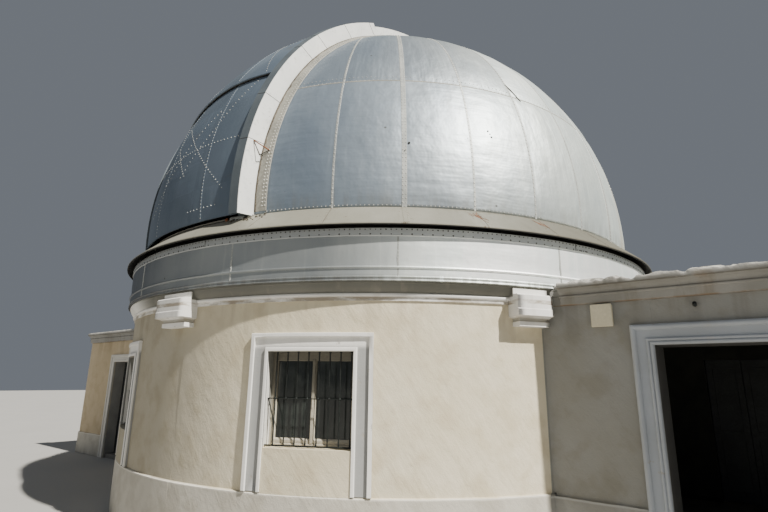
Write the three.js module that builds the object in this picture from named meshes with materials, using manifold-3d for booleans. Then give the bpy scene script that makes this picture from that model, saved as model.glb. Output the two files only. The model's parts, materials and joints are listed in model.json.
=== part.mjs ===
// Observatory dome on a round masonry drum, with a wing on one side and a link on the other.
// Millimetres. The origin is on the drum's axis at ground level.
// +X runs along the right wing, -Y faces the courtyard, +Z is up.
import * as THREE from 'three';
import Module from 'manifold-3d';

const wasm = await Module();
wasm.setup();

// Driving dimensions, in millimetres and degrees.
const gap = 0.3;
const slabTop = 80;
const slabInset = 40;

const drum = { outer: 3940, inner: 3490, plinth: 3965, plinthTop: 580, top: 2516 };
const cornice = { bottom: 2337, outer: 4022 };
const bracket = {
  places: [
    { at: -31.9, spread: 2.8, mitres: [true, false] },
    { at: -87.3, spread: 3.55, mitres: [true, true] },
    { at: -142.5, spread: 2.8, mitres: [false, true] },
  ],
  bottom: 2122,
  top: 2490,
  reach: 4126,
  crown: 4043,
};
const drumWindow = { angles: [-63.2, -110.8, 110.8, 63.2], half: 428, sill: 975, head: 1855 };
const windowSurround = { half: 8.9, top: 2030, edge: 38, field: 14, bead: 32, panel: 20 };
const innerDoor = { half: 500, head: 2050 };

const beam = { inner: 3490, outer: 3990, top: 3020 };
const band = { inner: 3990, outer: 4040, top: 3040 };
const rail = { inner: 3680, outer: 3745, top: 3050 };

const wallY = 1905;
const wallThick = 400;
const wallTop = 2330;
const wing = { end: 7150, plinthTop: 570, portal: [4443, 6100], portalHead: 1925, roofTop: 2550 };
const roofNear = 3650;
const foldingDoor = { leaves: 4, face: 1640, thick: 40 };
const link = { end: -7100, plinthTop: 420, door: [-5820, -4820], doorHead: 1900 };
const plinthOut = 25;

const dome = { radius: 3810, centre: 3535, thick: 22, base: 3341, azimuth: -94.2 };
const baseRing = { inner: 3700, outer: 3806 };
const apron = { edge: 4128, edgeTop: 3072, edgeBottom: 3052 };
const slit = { half: 1235, rear: 100, curbEnd: 172, tallEnd: 62.2, plate: 30, from: -3.3 };
const curbHeight = { tall: 200, low: 150, far: 136 };
const lowerShutter = { half: 1170, inner: 98, outer: 120, from: -3, to: 29.5 };
const upperShutter = { half: 1200, inner: 128, outer: 155, from: 28, to: 101 };

const rad = (degrees) => degrees * Math.PI / 180;
const range = (from, to, step) => {
  const count = Math.max(1, Math.round((to - from) / step));
  return Array.from({ length: count + 1 }, (_, i) => from + (to - from) * i / count);
};
const fullCircle = range(0, 360, 5);

// Closed triangle meshes and the boolean solids made of them.
function signedVolume(points, index) {
  let sum = 0;
  const a = new THREE.Vector3();
  const b = new THREE.Vector3();
  const c = new THREE.Vector3();
  for (let i = 0; i < index.length; i += 3) {
    a.fromArray(points, index[i] * 3);
    b.fromArray(points, index[i + 1] * 3);
    c.fromArray(points, index[i + 2] * 3);
    sum += a.dot(b.cross(c)) / 6;
  }
  return sum;
}

function solid(points, index, turn = 0) {
  const moved = points.slice();
  if (turn) {
    const cos = Math.cos(rad(turn));
    const sin = Math.sin(rad(turn));
    for (let i = 0; i < moved.length; i += 3) {
      const x = moved[i];
      const y = moved[i + 1];
      moved[i] = x * cos - y * sin;
      moved[i + 1] = x * sin + y * cos;
    }
  }
  const triangles = index.slice();
  if (signedVolume(moved, triangles) < 0) {
    for (let i = 0; i < triangles.length; i += 3) {
      [triangles[i + 1], triangles[i + 2]] = [triangles[i + 2], triangles[i + 1]];
    }
  }
  return new wasm.Manifold(new wasm.Mesh({
    numProp: 3,
    vertProperties: new Float32Array(moved),
    triVerts: new Uint32Array(triangles),
  }));
}

function capTriangles(profile) {
  const outline = profile.map(([u, v]) => new THREE.Vector2(u, v));
  return THREE.ShapeUtils.triangulateShape(outline, []);
}

// A profile of [radius, height] turned about Z, or about Y for the slit's parts.
function revolve(profile, angles, axis = 'z') {
  const closed = Math.abs(angles[angles.length - 1] - angles[0] - 360) < 1e-9;
  const rows = closed ? angles.slice(0, -1) : angles;
  const count = profile.length;
  const points = [];
  for (const angle of rows) {
    const cos = Math.cos(rad(angle));
    const sin = Math.sin(rad(angle));
    for (const [radius, height] of profile) {
      if (axis === 'z') points.push(radius * cos, radius * sin, height);
      else points.push(radius * cos, height, radius * sin);
    }
  }
  const index = [];
  const steps = closed ? rows.length : rows.length - 1;
  for (let i = 0; i < steps; i += 1) {
    const next = (i + 1) % rows.length;
    for (let k = 0; k < count; k += 1) {
      const l = (k + 1) % count;
      index.push(i * count + k, i * count + l, next * count + l);
      index.push(i * count + k, next * count + l, next * count + k);
    }
  }
  if (!closed) {
    // Each end cap winds against the side quads that meet it.
    const last = (rows.length - 1) * count;
    for (const [a, b, c] of capTriangles(profile)) {
      index.push(a, c, b);
      index.push(last + a, last + b, last + c);
    }
    fixCaps(index, steps * count * 6);
  }
  return solid(points, index);
}

// The caps' winding is made to agree with the quads by their shared edges.
function fixCaps(index, start) {
  const edges = new Set();
  for (let i = 0; i < start; i += 3) {
    edges.add(`${index[i]}-${index[i + 1]}`);
    edges.add(`${index[i + 1]}-${index[i + 2]}`);
    edges.add(`${index[i + 2]}-${index[i]}`);
  }
  let wrong = false;
  for (let i = start; i < index.length; i += 3) {
    const pairs = [[0, 1], [1, 2], [2, 0]];
    if (pairs.some(([u, v]) => edges.has(`${index[i + u]}-${index[i + v]}`))) wrong = true;
  }
  if (!wrong) return;
  for (let i = start; i < index.length; i += 3) {
    [index[i + 1], index[i + 2]] = [index[i + 2], index[i + 1]];
  }
}

// A polygon of [u, v] pushed along the third axis: z for 'xy', x for 'yz'.
function prism(outline, from, to, plane = 'xy', turn = 0) {
  const points = [];
  for (const level of [from, to]) {
    for (const [u, v] of outline) {
      if (plane === 'xy') points.push(u, v, level);
      else if (plane === 'yz') points.push(level, u, v);
      else points.push(u, level, v);
    }
  }
  const count = outline.length;
  const index = [];
  for (let k = 0; k < count; k += 1) {
    const l = (k + 1) % count;
    index.push(k, l, count + l, k, count + l, count + k);
  }
  const start = index.length;
  for (const [a, b, c] of capTriangles(outline)) {
    index.push(a, c, b);
    index.push(count + a, count + b, count + c);
  }
  fixCaps(index, start);
  return solid(points, index, turn);
}

const box = (x0, x1, y0, y1, z0, z1, turn = 0) => (
  prism([[x0, y0], [x1, y0], [x1, y1], [x0, y1]], z0, z1, 'xy', turn)
);

const ring = (inner, outer, from, to) => (
  revolve([[inner, from], [outer, from], [outer, to], [inner, to]], fullCircle)
);

const disc = (radius, from, to) => (
  prism(range(0, 355, 5).map((a) => [radius * Math.cos(rad(a)), radius * Math.sin(rad(a))]), from, to)
);

function wedge(from, to, low = -100, high = 9000) {
  const arc = range(from, to, 20).map((a) => [9000 * Math.cos(rad(a)), 9000 * Math.sin(rad(a))]);
  return prism([[0, 0], ...arc], low, high);
}

const union = (...solids) => solids.reduce((all, next) => all.add(next));

// Paints, plaster and metal read from the photograph.
const paint = (color, roughness, metalness = 0) => (
  new THREE.MeshStandardMaterial({ color, roughness, metalness })
);
const materials = {
  stucco: paint('#cdbfa6', 0.9),
  lime: paint('#d9d6cf', 0.85),
  weathered: paint('#b3ada2', 0.9),
  concrete: paint('#8f8b84', 0.9),
  dome: paint('#a9afb3', 0.42, 0.55),
  apron: paint('#bdb7a6', 0.6, 0.3),
  curb: paint('#dcdcd8', 0.6, 0.1),
  steel: paint('#6f7478', 0.5, 0.7),
  window: paint('#c9c2ad', 0.6),
  door: paint('#4a4f50', 0.5, 0.4),
};

const group = new THREE.Group();
group.name = 'observatory_dome';
const turningDome = new THREE.Group();
turningDome.name = 'turning_dome';
turningDome.position.z = dome.centre;
turningDome.rotation.z = rad(dome.azimuth);
group.add(turningDome);

function place(name, shape, material, parent = group) {
  const mesh = shape.getMesh();
  const geometry = new THREE.BufferGeometry();
  geometry.setAttribute('position', new THREE.BufferAttribute(new Float32Array(mesh.vertProperties), 3));
  geometry.setIndex(new THREE.BufferAttribute(new Uint32Array(mesh.triVerts), 1));
  geometry.computeVertexNormals();
  const piece = new THREE.Mesh(geometry, materials[material]);
  piece.name = name;
  parent.add(piece);
  return piece;
}

// Floor slab under the drum, the wing and the link.
const slabHalf = wallY - slabInset;
const slab = union(
  disc(drum.outer - slabInset, 0, slabTop),
  box(0, wing.end - slabInset, -slabHalf, slabHalf, 0, slabTop),
  box(link.end + slabInset, 0, -slabHalf, slabHalf, 0, slabTop),
);
place('floor_slab', slab, 'concrete');

// Drum wall: one full ring, parted into six segments, with its windows and inner doorways cut.
const footing = drum.outer - slabInset + gap;
const drumProfile = [
  [drum.inner, slabTop + gap],
  [footing, slabTop + gap],
  [footing, 0],
  [drum.plinth, 0],
  [drum.plinth, drum.plinthTop],
  [drum.outer, drum.plinthTop + 12],
  [drum.outer, drum.top],
  [drum.inner, drum.top],
];
const cutAngle = Math.asin(wallY / drum.outer) * 180 / Math.PI;
const seam = 0.0025;
const drumParts = [
  ['drum_wall_front_right', -86, -cutAngle, drumWindow.angles[0]],
  ['drum_wall_front_left', -180 + cutAngle, -86, drumWindow.angles[1]],
  ['drum_wall_back_left', 86, 180 - cutAngle, drumWindow.angles[2]],
  ['drum_wall_back_right', cutAngle, 86, drumWindow.angles[3]],
];
const drumRing = revolve(drumProfile, fullCircle);
for (const [name, from, to, at] of drumParts) {
  const opening = box(3200, 4400, -drumWindow.half, drumWindow.half, drumWindow.sill, drumWindow.head, at);
  // Under each window a panel stands a little forward between the jambs of its surround.
  const panelHalf = drumWindow.half - gap;
  const panel = ring(drum.outer - 10, drum.outer + windowSurround.panel, drum.plinthTop - 5, drumWindow.sill)
    .intersect(box(3200, 4400, -panelHalf, panelHalf, 0, 3000, at));
  const part = drumRing.intersect(wedge(from + seam, to - seam)).add(panel).subtract(opening);
  place(name, part, 'stucco');
}
// Inside the wing and the link the drum keeps its plain face down to the slab.
const innerProfile = [
  [drum.inner, slabTop + gap],
  [drum.outer, slabTop + gap],
  [drum.outer, drum.top],
  [drum.inner, drum.top],
];
const innerRing = revolve(innerProfile, fullCircle);
for (const [name, middle] of [['drum_wall_right', 0], ['drum_wall_left', 180]]) {
  const doorway = box(3200, 4400, -innerDoor.half, innerDoor.half, -100, innerDoor.head, middle);
  const reach = wedge(middle - cutAngle + seam, middle + cutAngle - seam);
  place(name, innerRing.intersect(reach).subtract(doorway), 'stucco');
}

// Moulded cornice under the metal band, in two halves, each with three corbels.
const face = drum.outer + gap;
const corniceProfile = [
  [face, cornice.bottom],
  [face + 14, cornice.bottom],
  [face + 14, cornice.bottom + 36],
  [face + 29, cornice.bottom + 40],
  [face + 35, cornice.bottom + 55],
  [face + 29, cornice.bottom + 70],
  [face + 20, cornice.bottom + 74],
  [face + 34, cornice.bottom + 84],
  [face + 54, cornice.bottom + 106],
  [face + 68, cornice.bottom + 132],
  [face + 76, cornice.bottom + 158],
  [cornice.outer, cornice.bottom + 162],
  [cornice.outer, drum.top],
  [face, drum.top],
];
// A corbel's foot, as [setback from the block, height]: a fillet and a cavetto that flares to the block.
const corbelFoot = [[68, 0], [68, 45], [80, 49], [78, 62], [66, 77], [44, 88], [16, 94], [0, 97]];
const corbelProfile = [
  [face, bracket.bottom],
  ...corbelFoot.map(([back, up]) => [bracket.reach - back, bracket.bottom + up]),
  [bracket.reach, bracket.bottom + 160],
  [bracket.reach - 6, bracket.bottom + 166],
  [bracket.reach - 6, bracket.top - 72],
  [bracket.reach - 20, bracket.top - 62],
  [bracket.crown, bracket.top - 56],
  [bracket.crown, bracket.top],
  [face, bracket.top],
];
const corniceRing = revolve(corniceProfile, fullCircle);
const corbelRing = revolve(corbelProfile, fullCircle);
// The foot's mouldings turn back along each free side; beside the wing and the link they stop plain.
function corbelSides({ at, spread, mitres }, side) {
  const edge = bracket.reach * Math.tan(rad(spread));
  const clear = edge + 60;
  const plain = [[clear, bracket.bottom - 10], [clear, bracket.top + 10]];
  const moulded = [
    ...corbelFoot.map(([back, up]) => [edge - 0.7 * back, bracket.bottom + up - (up > 0 ? 0 : 10)]),
    [clear, bracket.bottom + 97],
    [clear, bracket.top + 10],
  ];
  const flank = (mitred) => (mitred ? moulded : plain);
  const [low, high] = side > 0 ? mitres : [mitres[1], mitres[0]];
  const outline = [...flank(high), ...flank(low).map(([u, v]) => [-u, v]).reverse()];
  return prism(outline, 3700, 4300, 'yz', side * at);
}
const corbels = (side) => bracket.places.map((spec) => (
  corbelRing
    .intersect(wedge(side * spec.at - spec.spread, side * spec.at + spec.spread))
    .intersect(corbelSides(spec, side))
));
place('cornice_front', union(corniceRing.intersect(wedge(-180 + seam, -90)),
  corniceRing.intersect(wedge(-90, -seam)), ...corbels(1)), 'lime');
place('cornice_back', union(corniceRing.intersect(wedge(seam, 90)),
  corniceRing.intersect(wedge(90, 180 - seam)), ...corbels(-1)), 'lime');

// Window architraves on the drum and the glazed casements in their reveals.
const plinthShoulder = drum.plinthTop + 12 + gap;
function windowFrame(at) {
  const spread = windowSurround.half;
  const outer = wedge(at - spread, at + spread, plinthShoulder, windowSurround.top);
  const flat = wedge(at - 8.35, at + 8.35, 0, windowSurround.top - 40);
  const edge = ring(face, face + windowSurround.edge, 0, 3000).intersect(outer).subtract(flat);
  const field = ring(face, face + windowSurround.field, 0, 3000).intersect(outer);
  const half = drumWindow.half;
  const inner = box(3200, 4400, -half - 34, half + 34, plinthShoulder, drumWindow.head + 34, at);
  const bead = ring(face, face + windowSurround.bead, 0, 3000).intersect(inner);
  const clear = box(3200, 4400, -half, half, 0, drumWindow.head, at);
  return union(edge, field, bead).subtract(clear);
}
function casement(at) {
  const half = drumWindow.half - gap;
  const low = drumWindow.sill + gap;
  const high = drumWindow.head - gap;
  let frame = box(3745, 3800, -half, half, low, high, at);
  for (const [from, to] of [[-half + 48, -26], [26, half - 48]]) {
    frame = frame.subtract(box(3740, 3768, from, to, low + 52, high - 48, at));
    frame = frame.subtract(box(3776, 3810, from, to, low + 52, high - 48, at));
  }
  return frame;
}
drumWindow.angles.forEach((at, i) => {
  place(`window_surround_${i + 1}`, windowFrame(at), 'lime');
  place(`window_${i + 1}`, casement(at), 'window');
});

// Ring beam on the drum, its metal band, and the rail the dome turns on.
place('ring_beam', ring(beam.inner, beam.outer - gap, drum.top + gap, beam.top), 'concrete');
const bandFoot = drum.top + gap;
place('drum_band', revolve([
  [band.inner, bandFoot],
  [band.outer + 10, bandFoot],
  [band.outer + 10, bandFoot + 8],
  [band.outer, bandFoot + 14],
  [band.outer, 2546],
  [band.outer + 9, 2550],
  [band.outer + 9, 2558],
  [band.outer, 2562],
  [band.outer, 2634],
  [band.outer + 10, 2639],
  [band.outer + 14, 2647],
  [band.outer + 10, 2655],
  [band.outer, 2660],
  [band.outer - 4, 2735],
  [band.outer, 2800],
  [band.outer, 2958],
  [band.outer + 6, 2962],
  [band.outer + 6, band.top],
  [band.inner, band.top],
], fullCircle), 'dome');
place('track_rail', ring(rail.inner, rail.outer, beam.top + gap, rail.top), 'steel');

// What the wing and the link keep clear of: the drum with its plinth, cornice, corbels and band.
const keepOff = union(
  disc(drum.plinth + gap, -100, drum.plinthTop + 12 + gap),
  disc(drum.outer + gap, -100, 2600),
  disc(cornice.outer + gap, cornice.bottom - gap, 2600),
  disc(band.outer + 12 + gap, drum.top, 2900),
);
const sideCorbels = [bracket.places[0], bracket.places[2]];
const corbelRoom = [1, -1].flatMap((side) => sideCorbels.map(({ at, spread }) => (
  disc(bracket.reach + gap, bracket.bottom - gap, bracket.top + gap)
    .intersect(wedge(side * at - spread - 0.005, side * at + spread + 0.005))
)));
const offDrum = (shape) => (
  corbelRoom.reduce((rest, room) => rest.subtract(room), shape.subtract(keepOff))
);

// A straight length of wall along X with its plinth; side is -1 at the front and 1 at the back.
function wallRun(from, to, side, plinthTop, bottom = slabTop + gap, top = wallTop) {
  const span = (near, far, low, high) => (
    box(from, to, Math.min(side * near, side * far), Math.max(side * near, side * far), low, high)
  );
  const body = span(wallY - wallThick, wallY, bottom, top);
  if (bottom > slabTop + 1) return body;
  const skirt = span(wallY - slabInset + gap, wallY, 0, 400);
  const plinth = span(wallY - slabInset + gap, wallY + plinthOut, 0, plinthTop);
  return union(body, skirt, plinth);
}
// Room left in a plinth for a door surround that stands on the ground.
const surroundRoom = (from, to, side) => box(
  from - gap, to + gap,
  Math.min(side * wallY, side * 2100), Math.max(side * wallY, side * 2100),
  -10, 2300,
);

// An architrave round a doorway: a raised outer edge, a flat and an inner bead.
function doorFrame(from, to, head, width, depth, side) {
  const strip = (spread, out) => box(
    from - spread, to + spread,
    Math.min(side * (wallY + gap), side * (wallY + out)),
    Math.max(side * (wallY + gap), side * (wallY + out)),
    0, head + spread,
  );
  const slot = (spread) => box(
    from - spread, to + spread, Math.min(side * 2200, 0), Math.max(side * 2200, 0),
    -10, head + spread,
  );
  const outer = strip(width, depth).subtract(slot(width - 45));
  const flat = strip(width, depth * 0.62);
  const bead = strip(40, depth * 0.84);
  return union(outer, flat, bead).subtract(slot(0));
}

// Right wing: a portal front and back, a plain party wall at the end, and its roof.
const [portalFrom, portalTo] = wing.portal;
const portalWidth = 182;
for (const [word, side] of [['front', -1], ['back', 1]]) {
  const room = surroundRoom(portalFrom - portalWidth, portalTo + portalWidth, side);
  const left = wallRun(3300, portalFrom - gap, side, wing.plinthTop);
  const right = wallRun(portalTo + gap, wing.end, side, wing.plinthTop);
  place(`wing_${word}_pier_near`, offDrum(left).subtract(room), 'stucco');
  place(`wing_${word}_pier_far`, right.subtract(room), 'stucco');
  const lintel = wallRun(portalFrom, portalTo, side, 0, wing.portalHead);
  place(`wing_${word}_lintel`, lintel, 'stucco');
  const surround = doorFrame(portalFrom, portalTo, wing.portalHead, portalWidth, 48, side);
  place(`wing_${word}_surround`, surround, 'lime');
}
const innerY = wallY - wallThick - gap;
const partyWall = (from, to, outerFrom, outerTo) => union(
  box(from, to, -innerY, innerY, slabTop + gap, wallTop),
  box(outerFrom, outerTo, -innerY, innerY, 0, 400),
);
const wingParty = partyWall(wing.end - 300, wing.end, wing.end - slabInset + gap, wing.end);
place('wing_party_wall', wingParty, 'stucco');

// Roof section across the wing: a flat deck between two moulded, raised edges.
const halfRoof = [
  [wallY + 2, wallTop + gap],
  [wallY + 34, wallTop + gap],
  [wallY + 40, wallTop + 10],
  [wallY + 46, wallTop + 74],
  [wallY + 60, wallTop + 78],
  [wallY + 60, wallTop + 91],
  [wallY + 50, wallTop + 96],
  [wallY + 56, wallTop + 120],
  [wallY + 74, wallTop + 142],
  [wallY + 100, wallTop + 153],
  [wallY + 104, wallTop + 161],
  [wallY + 120, wallTop + 163],
  [wallY + 120, wing.roofTop - 30],
  [wallY + 112, wing.roofTop - 8],
  [wallY + 60, wing.roofTop + 4],
  [wallY - 60, wing.roofTop],
  [wallY - 170, wing.roofTop - 12],
  [wallY - 220, wallTop + 120],
];
const roofSection = [...halfRoof, ...halfRoof.map(([y, z]) => [-y, z]).reverse()];
// Beside the drum the deck runs on between the walls and the moulded edges stop short of the band.
const edgeRoom = (from, to) => union(
  box(from, to, -2200, -wallY - gap, wallTop, 2700),
  box(from, to, wallY + gap, 2200, wallTop, 2700),
);
const wingRoof = prism(roofSection, 2600, wing.end, 'yz').subtract(edgeRoom(2500, roofNear));
place('wing_roof', offDrum(wingRoof), 'weathered');

// A closed folding door of panelled leaves stands in the back portal.
const foldSpan = (portalTo - portalFrom - 2 * gap) / foldingDoor.leaves;
const foldBack = foldingDoor.face + foldingDoor.thick;
const foldHead = wing.portalHead - gap;
const carve = (shape, from, to, deep, low, high) => shape
  .subtract(box(from, to, foldingDoor.face - 5, foldingDoor.face + deep, low, high))
  .subtract(box(from, to, foldBack - deep, foldBack + 5, low, high));
let folding = box(portalFrom + gap, portalTo - gap, foldingDoor.face, foldBack, slabTop + gap, foldHead);
for (let i = 0; i < foldingDoor.leaves; i += 1) {
  const from = portalFrom + gap + i * foldSpan;
  folding = carve(folding, from + 75, from + foldSpan - 75, 10, slabTop + 130, 880);
  folding = carve(folding, from + 75, from + foldSpan - 75, 10, 980, foldHead - 110);
  if (i > 0) folding = carve(folding, from - 3, from + 3, 8, 0, 2500);
}
place('wing_back_folding_door', folding, 'door');

// Left link: a glazed door at the front, a plain wall at the back, a party wall and its roof.
const [doorFrom, doorTo] = link.door;
const doorWidth = 150;
const doorRoom = surroundRoom(doorFrom - doorWidth, doorTo + doorWidth, -1);
const linkFar = wallRun(link.end, doorFrom - gap, -1, link.plinthTop);
const linkNear = offDrum(wallRun(doorTo + gap, -3300, -1, link.plinthTop));
place('link_front_pier_far', linkFar.subtract(doorRoom), 'stucco');
place('link_front_pier_near', linkNear.subtract(doorRoom), 'stucco');
place('link_front_lintel', wallRun(doorFrom, doorTo, -1, 0, link.doorHead), 'stucco');
place('link_door_surround', doorFrame(doorFrom, doorTo, link.doorHead, doorWidth, 40, -1), 'lime');
place('link_back_wall', offDrum(wallRun(link.end, -3300, 1, link.plinthTop)), 'stucco');
const linkParty = partyWall(link.end, link.end + 300, link.end, link.end + slabInset - gap);
place('link_party_wall', linkParty, 'stucco');
const linkRoof = prism(roofSection, link.end, -2600, 'yz').subtract(edgeRoom(-roofNear, -2500));
place('link_roof', offDrum(linkRoof), 'weathered');

// The link's door: a metal frame in the reveal and one glazed leaf on its hinge line.
const doorY = -1705;
const leafThick = 45;
const jamb = 45;
const doorHead = link.doorHead - gap;
const doorFoot = slabTop + gap;
const frameOuter = box(doorFrom + gap, doorTo - gap, doorY, doorY + leafThick + 10, doorFoot, doorHead);
const frameInner = box(doorFrom + jamb, doorTo - jamb, -2000, -1500, doorFoot - 10, doorHead - jamb);
place('link_door_frame', frameOuter.subtract(frameInner), 'door');
const barrel = 9;
const hingeX = doorFrom + jamb + barrel + 0.5;
const hingeY = doorY + leafThick;
const leaf = new THREE.Group();
leaf.name = 'door_hinge';
leaf.position.set(hingeX, hingeY, 0);
group.add(leaf);
const leafWidth = doorTo - jamb - 6 - hingeX;
const leafLow = doorFoot + 8;
const leafHigh = doorHead - jamb - 6;
let leafShape = box(0, leafWidth, -leafThick, 0, leafLow, leafHigh);
for (const [low, high] of [[leafLow + 160, 950], [1030, leafHigh - 90]]) {
  leafShape = leafShape.subtract(box(85, leafWidth - 85, -leafThick - 5, -leafThick + 18, low, high));
  leafShape = leafShape.subtract(box(85, leafWidth - 85, -18, 5, low, high));
}
const barrelRound = range(0, 337.5, 22.5).map((a) => [barrel * Math.cos(rad(a)), barrel * Math.sin(rad(a))]);
const handle = union(
  box(leafWidth - 62, leafWidth - 38, -leafThick - 32, -leafThick + 2, 1018, 1042),
  box(leafWidth - 62, leafWidth - 38, -leafThick - 44, -leafThick - 30, 900, 1042),
);
leafShape = union(leafShape, prism(barrelRound, leafLow, leafHigh), handle);
place('link_door_leaf', leafShape, 'door', leaf);

// The turning dome, drawn about its own centre with the slit along +X and the slit's axis along Y.
const level = (z) => z - dome.centre;
const ringShape = ring(baseRing.inner, baseRing.outer, level(rail.top + gap), level(dome.base));
place('dome_base_ring', ringShape, 'steel', turningDome);
place('dome_apron', revolve([
  [baseRing.outer + gap, level(dome.base)],
  [apron.edge, level(apron.edgeTop)],
  [apron.edge, level(apron.edgeBottom)],
  [apron.edge - 14, level(apron.edgeBottom)],
  [apron.edge - 14, level(apron.edgeTop - 12)],
  [baseRing.outer + 20, level(dome.base - 34)],
  [baseRing.outer + gap, level(dome.base - 34)],
], fullCircle), 'apron', turningDome);

const baseLevel = level(dome.base) + gap;
const foot = Math.asin(baseLevel / dome.radius) * 180 / Math.PI;
const shellOuter = [];
const shellInner = [];
const innerRadius = dome.radius - dome.thick;
const innerFoot = Math.asin(baseLevel / innerRadius) * 180 / Math.PI;
const crown = 1.2;
for (const t of range(foot, 90 - crown, 5.3)) {
  shellOuter.push([dome.radius * Math.cos(rad(t)), dome.radius * Math.sin(rad(t))]);
}
for (const t of range(innerFoot, 90 - crown, 5.3)) {
  shellInner.push([innerRadius * Math.cos(rad(t)), innerRadius * Math.sin(rad(t))]);
}
const shellRing = revolve([...shellOuter, ...shellInner.reverse()], fullCircle);
const crownCap = disc(120, innerRadius - 4, dome.radius - 0.8);
const shell = union(shellRing, crownCap);
const big = 9000;
const nearSide = slit.half + gap;
const midSeam = gap / 2;
for (const [word, from, to] of [['front', midSeam, big], ['back', -big, -midSeam]]) {
  const right = shell.intersect(box(from, to, nearSide, big, -big, big));
  const left = shell.intersect(box(from, to, -big, -nearSide, -big, big));
  place(`shell_right_${word}`, right, 'dome', turningDome);
  place(`shell_left_${word}`, left, 'dome', turningDome);
}
const rearEdge = (radius, t) => [radius * Math.cos(rad(t)), radius * Math.sin(rad(t))];
const between = slit.half - 105 - gap;
const rearRoom = prism([
  [0, 0],
  rearEdge(big, slit.rear),
  [-big, big],
  [-big, -big],
  [0, -big],
], -between, between, 'xz');
place('shell_rear', shell.intersect(rearRoom), 'dome', turningDome);

// In-plane radius at offset k of a surface that stands a height above the shell.
const reach = (height, k) => Math.sqrt((dome.radius + height) ** 2 - k * k);
const stepT = 2;
const half = slit.half;
const innerFace = half - 105;
const lowerTrack = half - 55;
const plateFace = half - slit.plate;
function curbSection(height, flange) {
  const points = [
    [reach(-dome.thick, innerFace), innerFace],
    [reach(lowerShutter.inner - 0.9, innerFace), innerFace],
    [reach(lowerShutter.inner - 0.9, lowerTrack), lowerTrack],
    [reach(upperShutter.inner - 0.9, lowerTrack), lowerTrack],
    [reach(upperShutter.inner - 0.9, plateFace), plateFace],
  ];
  if (flange) {
    points.push([reach(height - 20, plateFace), plateFace]);
    points.push([reach(height - 20, half - 120), half - 120]);
    points.push([reach(height, half - 120), half - 120]);
  } else {
    points.push([reach(height, plateFace), plateFace]);
  }
  points.push([reach(height, half), half]);
  points.push([reach(-dome.thick, half), half]);
  return points;
}
// The curbs' feet overhang the apron and stay clear of the base ring and the apron's top edge.
const footRoom = disc(baseRing.outer + 26, -big, baseLevel);
const tallSection = curbSection(curbHeight.tall, true);
const lowSection = curbSection(curbHeight.low, false);
const tallCurb = revolve(tallSection, range(slit.from, slit.tallEnd, stepT), 'y');
const lowCurb = revolve(lowSection, range(slit.tallEnd - 1, slit.curbEnd, stepT), 'y');
place('curb_near', union(tallCurb, lowCurb).subtract(footRoom), 'curb', turningDome);
// The far curb has no flange: it ends level with the shutters, which hide it from the courtyard.
const farSection = curbSection(curbHeight.far, false).map(([radius, k]) => [radius, -k]);
const farCurb = revolve(farSection, range(slit.from, slit.curbEnd, stepT), 'y');
place('curb_far', farCurb.subtract(footRoom), 'curb', turningDome);

// Two curved shutter sections that run between the curbs.
function shutter(spec, material, name) {
  const ks = [-1, -0.94, -0.72, -0.48, -0.24, 0, 0.24, 0.48, 0.72, 0.94, 1].map((f) => f * spec.half);
  const outer = ks.map((k) => [reach(spec.outer, k), k]);
  const inner = ks.map((k) => [reach(spec.inner, k), k]);
  const shape = revolve([...outer, ...inner.reverse()], range(spec.from, spec.to, stepT), 'y');
  place(name, shape, material, turningDome);
}
shutter(lowerShutter, 'dome', 'shutter_lower');
shutter(upperShutter, 'dome', 'shutter_upper');

export default group;
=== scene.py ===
# %% [markdown]
# # An observatory dome
# This lesson dresses a packed building with real looking surfaces. The building is a round masonry drum
# with a turning metal dome, a flat-roofed wing on the right and a short link on the left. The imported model
# is loaded first and nothing in it is moved: every new piece is made in the same frame, in metres.

# %% Load the frame
import functools
import itertools
import json
import math
import random

import bmesh
import bpy
import numpy as np
from mathutils import Matrix, Vector


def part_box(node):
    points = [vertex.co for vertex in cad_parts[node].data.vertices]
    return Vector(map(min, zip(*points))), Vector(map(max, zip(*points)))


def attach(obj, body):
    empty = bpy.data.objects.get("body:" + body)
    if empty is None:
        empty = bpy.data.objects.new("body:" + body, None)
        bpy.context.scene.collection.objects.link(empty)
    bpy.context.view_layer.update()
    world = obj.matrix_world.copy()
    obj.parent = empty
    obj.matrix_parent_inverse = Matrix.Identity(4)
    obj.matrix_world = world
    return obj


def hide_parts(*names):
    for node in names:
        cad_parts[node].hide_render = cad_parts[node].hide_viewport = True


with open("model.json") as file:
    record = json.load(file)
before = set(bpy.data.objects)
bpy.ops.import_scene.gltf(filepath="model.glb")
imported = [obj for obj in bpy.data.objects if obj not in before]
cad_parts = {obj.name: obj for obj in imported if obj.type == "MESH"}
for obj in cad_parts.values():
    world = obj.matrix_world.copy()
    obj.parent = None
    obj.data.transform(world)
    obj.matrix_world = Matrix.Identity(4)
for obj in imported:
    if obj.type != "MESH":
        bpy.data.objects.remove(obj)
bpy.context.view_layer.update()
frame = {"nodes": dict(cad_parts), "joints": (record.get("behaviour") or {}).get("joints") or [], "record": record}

body_of = {node: body for body, nodes in frame["record"]["behaviour"]["bodies"].items() for node in nodes}
joints = {joint["name"]: joint for joint in frame["joints"]}


def add_object(name, data):
    """A new object at the origin that shows a mesh, a lamp or a camera."""
    made = bpy.data.objects.new(name, data)
    bpy.context.scene.collection.objects.link(made)
    return made


# %% [markdown]
# ## Where things are
# The dome is a sphere round a centre on the drum's axis. Its slit is an arch between two curbs. A place on
# the arch is given by t, degrees up from the slit's front, and k, metres across, positive to the near side.
# A place on the rest of the dome is given by its azimuth and elevation. Both come from the shutters' joint.

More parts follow.
